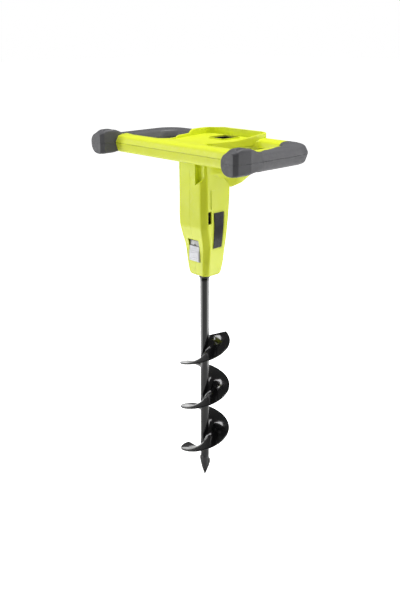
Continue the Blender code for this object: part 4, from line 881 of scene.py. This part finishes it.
def moulded_surface():
    """Injection-moulded plastic: soft colour drift, fine spark texture, handling scuffs, and pale edges that
    are partly wear and partly painted highlight.
    """
    tree, given, out, coord = surface_group("moulded_surface", ("Grain",))
    drift = ramp(tree, noise(tree, coord, 14.0, 4.0), 0.32, 0.72)
    colour = blend_colour(tree, drift, given["Colour"], given["Shade"])
    spark = noise(tree, coord, given["Grain"], 2.0)
    pits = add(tree, "ShaderNodeTexVoronoi", Scale=900.0)
    feed(tree, pits.inputs["Vector"], coord)
    # Pale colour on sharp edges: partly wear, partly a painted highlight
    edge = ramp(tree, tree.nodes.new("ShaderNodeNewGeometry").outputs["Pointiness"], 0.515, 0.6)
    breakup = ramp(tree, noise(tree, coord, 220.0, 4.0), 0.42, 0.62)
    mask = arithmetic(tree, "MULTIPLY", arithmetic(tree, "MULTIPLY", edge, breakup), given["Wear And Highlight Amount"])
    stretch = add(tree, "ShaderNodeMapping", Scale=(30.0, 55.0, 900.0), Rotation=(0.5, 0.35, 0.8))
    feed(tree, stretch.inputs["Vector"], coord)
    streak = ramp(tree, noise(tree, stretch.outputs["Vector"], 1.0, 2.0), 0.7, 0.78)
    sparse = ramp(tree, noise(tree, coord, 24.0, 2.0), 0.52, 0.66)
    scuff = arithmetic(tree, "MULTIPLY", streak, sparse)
    faint = arithmetic(tree, "MULTIPLY", given["Wear And Highlight Amount"], 0.35)
    wear_and_highlight = arithmetic(tree, "MAXIMUM", mask, arithmetic(tree, "MULTIPLY", scuff, faint))
    feed(tree, out["Colour"], blend_colour(tree, wear_and_highlight, colour, given["Worn And Highlight"]))
    gloss = ramp(tree, noise(tree, coord, 60.0, 4.0), 0.3, 0.7, given["Gloss Low"], given["Gloss High"])
    feed(tree, out["Roughness"], arithmetic(tree, "ADD", gloss, arithmetic(tree, "MULTIPLY", scuff, 0.12)))
    fine = arithmetic(tree, "ADD", spark, arithmetic(tree, "MULTIPLY", pits.outputs["Distance"], 0.4))
    feed(tree, out["Height"], arithmetic(tree, "SUBTRACT", fine, arithmetic(tree, "MULTIPLY", scuff, 0.4)))
    return tree


def metal_surface():
    """Worked or painted metal: faint tooling rings along one axis, orange peel, smudges, and bright edges
    that are partly wear and partly painted highlight.
    """
    tree, given, out, coord = surface_group("metal_surface", ("Peel", "Rings"))
    drift = ramp(tree, noise(tree, coord, 22.0, 4.0), 0.3, 0.7)
    colour = blend_colour(tree, drift, given["Colour"], given["Shade"])
    # Bright colour on sharp edges: partly wear, partly a painted highlight
    edge = ramp(tree, tree.nodes.new("ShaderNodeNewGeometry").outputs["Pointiness"], 0.52, 0.62)
    breakup = ramp(tree, noise(tree, coord, 260.0, 5.0), 0.45, 0.62)
    wear_and_highlight = arithmetic(tree, "MULTIPLY", arithmetic(tree, "MULTIPLY", edge, breakup), given["Wear And Highlight Amount"])
    feed(tree, out["Colour"], blend_colour(tree, wear_and_highlight, colour, given["Worn And Highlight"]))
    smudge = ramp(tree, noise(tree, coord, 38.0, 5.0), 0.32, 0.68, given["Gloss Low"], given["Gloss High"])
    feed(tree, out["Roughness"], arithmetic(tree, "ADD", smudge, arithmetic(tree, "MULTIPLY", wear_and_highlight, 0.15)))
    turnings = add(tree, "ShaderNodeMapping", Scale=(3.0, 3.0, 2200.0))
    feed(tree, turnings.inputs["Vector"], coord)
    lines = arithmetic(tree, "MULTIPLY", noise(tree, turnings.outputs["Vector"], 1.0, 2.0), given["Rings"])
    feed(tree, out["Height"], arithmetic(tree, "ADD", lines, noise(tree, coord, given["Peel"], 2.0)))
    return tree


def finish_with(name, group, inputs, bump, metallic=0.0, coat=0.0, coat_rough=0.1, specular=0.5):
    """A Principled material whose colour, roughness and bump come from one of the surface groups."""
    mat = bpy.data.materials.new(name)
    mat.use_nodes = True
    tree = mat.node_tree
    shader = next(n for n in tree.nodes if n.type == "BSDF_PRINCIPLED")
    for label, value in (("Metallic", metallic), ("Coat Weight", coat), ("Coat Roughness", coat_rough),
                         ("Specular IOR Level", specular)):
        shader.inputs[label].default_value = value
    mix = tree.nodes.new("ShaderNodeGroup")
    mix.node_tree = group
    for label, value in inputs.items():
        mix.inputs[label].default_value = value + (1.0,) if isinstance(value, tuple) else value
    relief = add(tree, "ShaderNodeBump", Strength=bump[0], Distance=bump[1])
    feed(tree, relief.inputs["Height"], mix.outputs["Height"])
    feed(tree, shader.inputs["Base Color"], mix.outputs["Colour"])
    feed(tree, shader.inputs["Roughness"], mix.outputs["Roughness"])
    feed(tree, shader.inputs["Normal"], relief.outputs["Normal"])
    mat.diffuse_color = inputs["Colour"] + (1.0,)
    return mat


# key: material name, colour, shade, edge colour (wear and painted highlight), (grain,) of a plastic or (peel,
# rings) of a metal, lowest and highest roughness, amount of wear and painted edge highlight, bump strength
# and depth, and what else the shader needs
FINISHES = {
    "lime": ("lime_moulding", (0.735, 0.81, 0.028), (0.69, 0.765, 0.024), (0.8, 0.85, 0.22),
             (3000,), (0.3, 0.42), 0.35, (0.1, 0.0002), dict(specular=0.32)),
    "grip": ("grey_grip_moulding", (0.098, 0.098, 0.105), (0.082, 0.082, 0.088), (0.2, 0.2, 0.21),
             (2200,), (0.46, 0.6), 0.55, (0.28, 0.0003), {}),
    "plate": ("blank_plate_black", (0.01, 0.01, 0.011), (0.007, 0.007, 0.008), (0.22, 0.22, 0.23),
              (2600,), (0.2, 0.32), 0.6, (0.08, 0.0002), dict(specular=0.12)),
    "black": ("black_moulding", (0.018, 0.018, 0.019), (0.012, 0.012, 0.013), (0.09, 0.09, 0.095),
              (2400,), (0.38, 0.52), 0.6, (0.22, 0.0003), {}),
    "button": ("control_button_black", (0.022, 0.022, 0.023), (0.014, 0.014, 0.015), (0.13, 0.13, 0.13),
               (1800,), (0.28, 0.42), 0.8, (0.2, 0.0003), {}),
    "silver": ("silver_moulding", (0.5, 0.505, 0.54), (0.45, 0.455, 0.49), (0.42, 0.42, 0.43),
               (2600,), (0.28, 0.4), 0.4, (0.08, 0.0002), dict(metallic=0.15)),
    "track": ("track_light_grey", (0.56, 0.565, 0.575), (0.5, 0.505, 0.515), (0.35, 0.35, 0.36),
              (2600,), (0.34, 0.48), 0.5, (0.1, 0.0002), {}),
    "board": ("circuit_board_green", (0.018, 0.13, 0.048), (0.012, 0.095, 0.036), (0.3, 0.26, 0.08),
              (1600,), (0.26, 0.4), 0.6, (0.15, 0.0002), {}),
    "rubber": ("lead_rubber_black", (0.022, 0.021, 0.021), (0.015, 0.014, 0.014), (0.07, 0.07, 0.07),
               (1400,), (0.55, 0.72), 0.4, (0.25, 0.0003), {}),
    "enamel": ("black_enamel_gloss", (0.006, 0.006, 0.0065), (0.004, 0.004, 0.0045), (0.08, 0.08, 0.085),
               (240, 0), (0.12, 0.22), 0.35, (0.1, 0.0004), dict(coat=0.7, coat_rough=0.05, specular=0.2)),
    "enamel_worn": ("black_enamel_ground_tip", (0.017, 0.017, 0.018), (0.011, 0.011, 0.012),
                    (0.3, 0.3, 0.31), (300, 0), (0.2, 0.34), 0.2, (0.12, 0.0004),
                    dict(coat=0.3, coat_rough=0.12)),
    "steel": ("ground_steel", (0.56, 0.56, 0.57), (0.45, 0.45, 0.46), (0.75, 0.75, 0.76),
              (500, 0.8), (0.22, 0.38), 0.8, (0.12, 0.0002), dict(metallic=1.0)),
    "screw": ("black_oxide_screw", (0.05, 0.05, 0.055), (0.035, 0.035, 0.038), (0.35, 0.35, 0.36),
              (700, 0.6), (0.26, 0.4), 1.0, (0.15, 0.0002), dict(metallic=0.9)),
    "alloy": ("cast_alloy", (0.48, 0.485, 0.495), (0.39, 0.395, 0.405), (0.66, 0.66, 0.67),
              (900, 0.1), (0.38, 0.55), 0.6, (0.3, 0.0003), dict(metallic=0.9)),
    "copper": ("enamelled_copper", (0.56, 0.19, 0.06), (0.42, 0.13, 0.04), (0.75, 0.35, 0.18),
               (420, 0.9), (0.22, 0.36), 0.6, (0.4, 0.0004), dict(metallic=0.9)),
    "magnet": ("sintered_magnet", (0.065, 0.066, 0.07), (0.045, 0.046, 0.05), (0.2, 0.2, 0.21),
               (800, 0.2), (0.45, 0.62), 0.5, (0.25, 0.0003), dict(metallic=0.4)),
    "lamination": ("stacked_laminations", (0.3, 0.305, 0.32), (0.22, 0.225, 0.24), (0.5, 0.5, 0.52),
                   (400, 2), (0.34, 0.5), 0.5, (0.5, 0.0003), dict(metallic=0.9)),
}


def make_finishes():
    """One material for each row of the table."""
    groups = {1: (moulded_surface(), ("Grain",)), 2: (metal_surface(), ("Peel", "Rings"))}
    made = {}
    for key, (name, colour, shaded, wear_and_highlight, texture, gloss, wear_and_highlight_amount, bump, more) in FINISHES.items():
        group, labels = groups[len(texture)]
        # The edge colour and its amount paint wear together with a highlight on sharp edges
        inputs = {"Colour": colour, "Shade": shaded, "Worn And Highlight": wear_and_highlight, "Gloss Low": gloss[0],
                  "Gloss High": gloss[1], "Wear And Highlight Amount": wear_and_highlight_amount, **dict(zip(labels, texture))}
        made[key] = finish_with(name, group, inputs, bump, **more)
    return made


NODE_FINISH = {
    "steel": ("output_spindle", "drive_pin", "motor_shaft", "motor_bearing_lower", "motor_bearing_upper",
              "spindle_bearing_lower", "spindle_bearing_upper", "planet_gear_1", "planet_gear_2",
              "planet_gear_3", "ring_gear", "motor_can"),
    "screw": ("handle_screw_1", "handle_screw_2", "handle_screw_3", "handle_screw_4", "housing_screw_1",
              "housing_screw_2", "housing_screw_3"),
    "alloy": ("gearbox_case", "motor_mount_plate"),
    "copper": ("armature_windings", "commutator", "battery_contacts"),
    "lamination": ("armature_core",),
    "magnet": ("magnet_ring",),
    "rubber": ("motor_lead", "switch_lead"),
    "black": ("battery_well", "brush_holder", "motor_end_cap", "motor_fan", "switch_module",
              "vent_grille_left", "vent_grille_right", "dust_collar"),
    "button": ("trigger", "lock_off_button", "direction_switch"),
    "silver": ("shift_fork",),
    "track": ("selector_track",),
}


def dress_nodes(finish):
    """Every CAD node that stays on show gets its own finish, eased edges and smooth curves."""
    for key, names in NODE_FINISH.items():
        for name in names:
            obj = nodes[name]
            if not obj.material_slots:
                obj.data.materials.append(finish[key])
            for slot in obj.material_slots:
                slot.material = finish[key]
            obj.modifiers.new("weld", "WELD").merge_threshold = 0.00001
            soften(obj, min(0.0004, min(obj.dimensions) * 0.08), 2, 30)


# ---- stage ----
def area_light(name, place_at, target, size, size_y, power):
    """A rectangular light aimed at a point, which the camera doesn't see."""
    lamp = bpy.data.lights.new(name, "AREA")
    lamp.shape = "RECTANGLE"
    lamp.size = size
    lamp.size_y = size_y
    lamp.energy = power
    obj = bpy.data.objects.new(name, lamp)
    obj.location = place_at
    obj.rotation_euler = (Vector(target) - Vector(place_at)).to_track_quat("-Z", "Y").to_euler()
    obj.visible_camera = False
    bpy.context.scene.collection.objects.link(obj)
    return obj


def by_ray(tree, other, camera):
    """One strength for the camera's rays and another for the rest."""
    path = tree.nodes.new("ShaderNodeLightPath")
    return ramp(tree, path.outputs["Is Camera Ray"], 0.0, 1.0, other, camera)


def make_floor():
    """A pale floor just under the tip."""
    floor_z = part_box("spear_tip")[0].z - 0.0005
    corners = [(-20, -20, floor_z), (20, -20, floor_z), (20, 20, floor_z), (-20, 20, floor_z)]
    floor = link_mesh("studio_floor", corners, [(0, 1, 2, 3)], smooth=False)
    if floor.data.polygons[0].normal.z < 0:
        floor.data.flip_normals()
    paint = bpy.data.materials.new("studio_floor_pale")
    paint.use_nodes = True
    tree = paint.node_tree
    shader = next(n for n in tree.nodes if n.type == "BSDF_PRINCIPLED")
    shader.inputs["Base Color"].default_value = (0.92, 0.92, 0.92, 1.0)
    shader.inputs["Roughness"].default_value = 0.8
    shader.inputs["Emission Color"].default_value = (1.0, 1.0, 1.0, 1.0)
    feed(tree, shader.inputs["Emission Strength"], by_ray(tree, 0.1, 0.95))
    floor.data.materials.append(paint)


def make_stage():
    """The floor, a white surround, side softboxes, an overhead panel, low strips and the camera."""
    make_floor()
    scene = bpy.context.scene
    scene.world = bpy.data.worlds.new("studio_surround")
    scene.world.use_nodes = True
    tree = scene.world.node_tree
    back = next(n for n in tree.nodes if n.type == "BACKGROUND")
    back.inputs["Color"].default_value = (1.0, 1.0, 1.0, 1.0)
    feed(tree, back.inputs["Strength"], by_ray(tree, 0.16, 1.0))
    area_light("softbox_left", (-1.62, -1.62, 0.35), (0, 0, -0.15), 0.6, 2.4, 30.0)
    area_light("softbox_right", (1.66, 1.5, 0.35), (0, 0, -0.15), 0.6, 2.4, 28.0)
    area_light("panel_top", (0.1, 0.2, 2.3), (0, 0, 0), 1.4, 1.4, 64.0)
    for side, spot in (("left", (-0.36, -0.38, -0.53)), ("right", (0.36, 0.38, -0.53))):
        strip = area_light("strip_" + side, spot, (0, 0, -0.53), 0.5, 0.31, 1.7)
        strip.visible_diffuse = False
    cam = bpy.data.cameras.new("view_camera")
    cam.lens = 45.65
    cam.sensor_width = 36.0
    cam.sensor_fit = "AUTO"
    cam.clip_start = 0.01
    eye = bpy.data.objects.new("view_camera", cam)
    forward = Vector((-0.6821, 0.6498, -0.3354)).normalized()
    right = Vector((0.6907, 0.7231, -0.0038))
    right = (right - forward * right.dot(forward)).normalized()
    turn = Matrix((right, right.cross(forward), -forward)).transposed().to_4x4()
    eye.matrix_world = Matrix.Translation((1.0207, -0.985, 0.2036)) @ turn
    scene.collection.objects.link(eye)
    scene.camera = eye
    scene.view_settings.view_transform = "Standard"


finish = make_finishes()
make_stage()
dress_nodes(finish)
make_handle(finish)
lime_strip(finish)
make_blocks(finish)
make_column(finish)
make_name_plates(finish)
make_selector(finish)
make_board(finish)
make_shaft(finish)
make_flight(finish)
make_tip(finish)
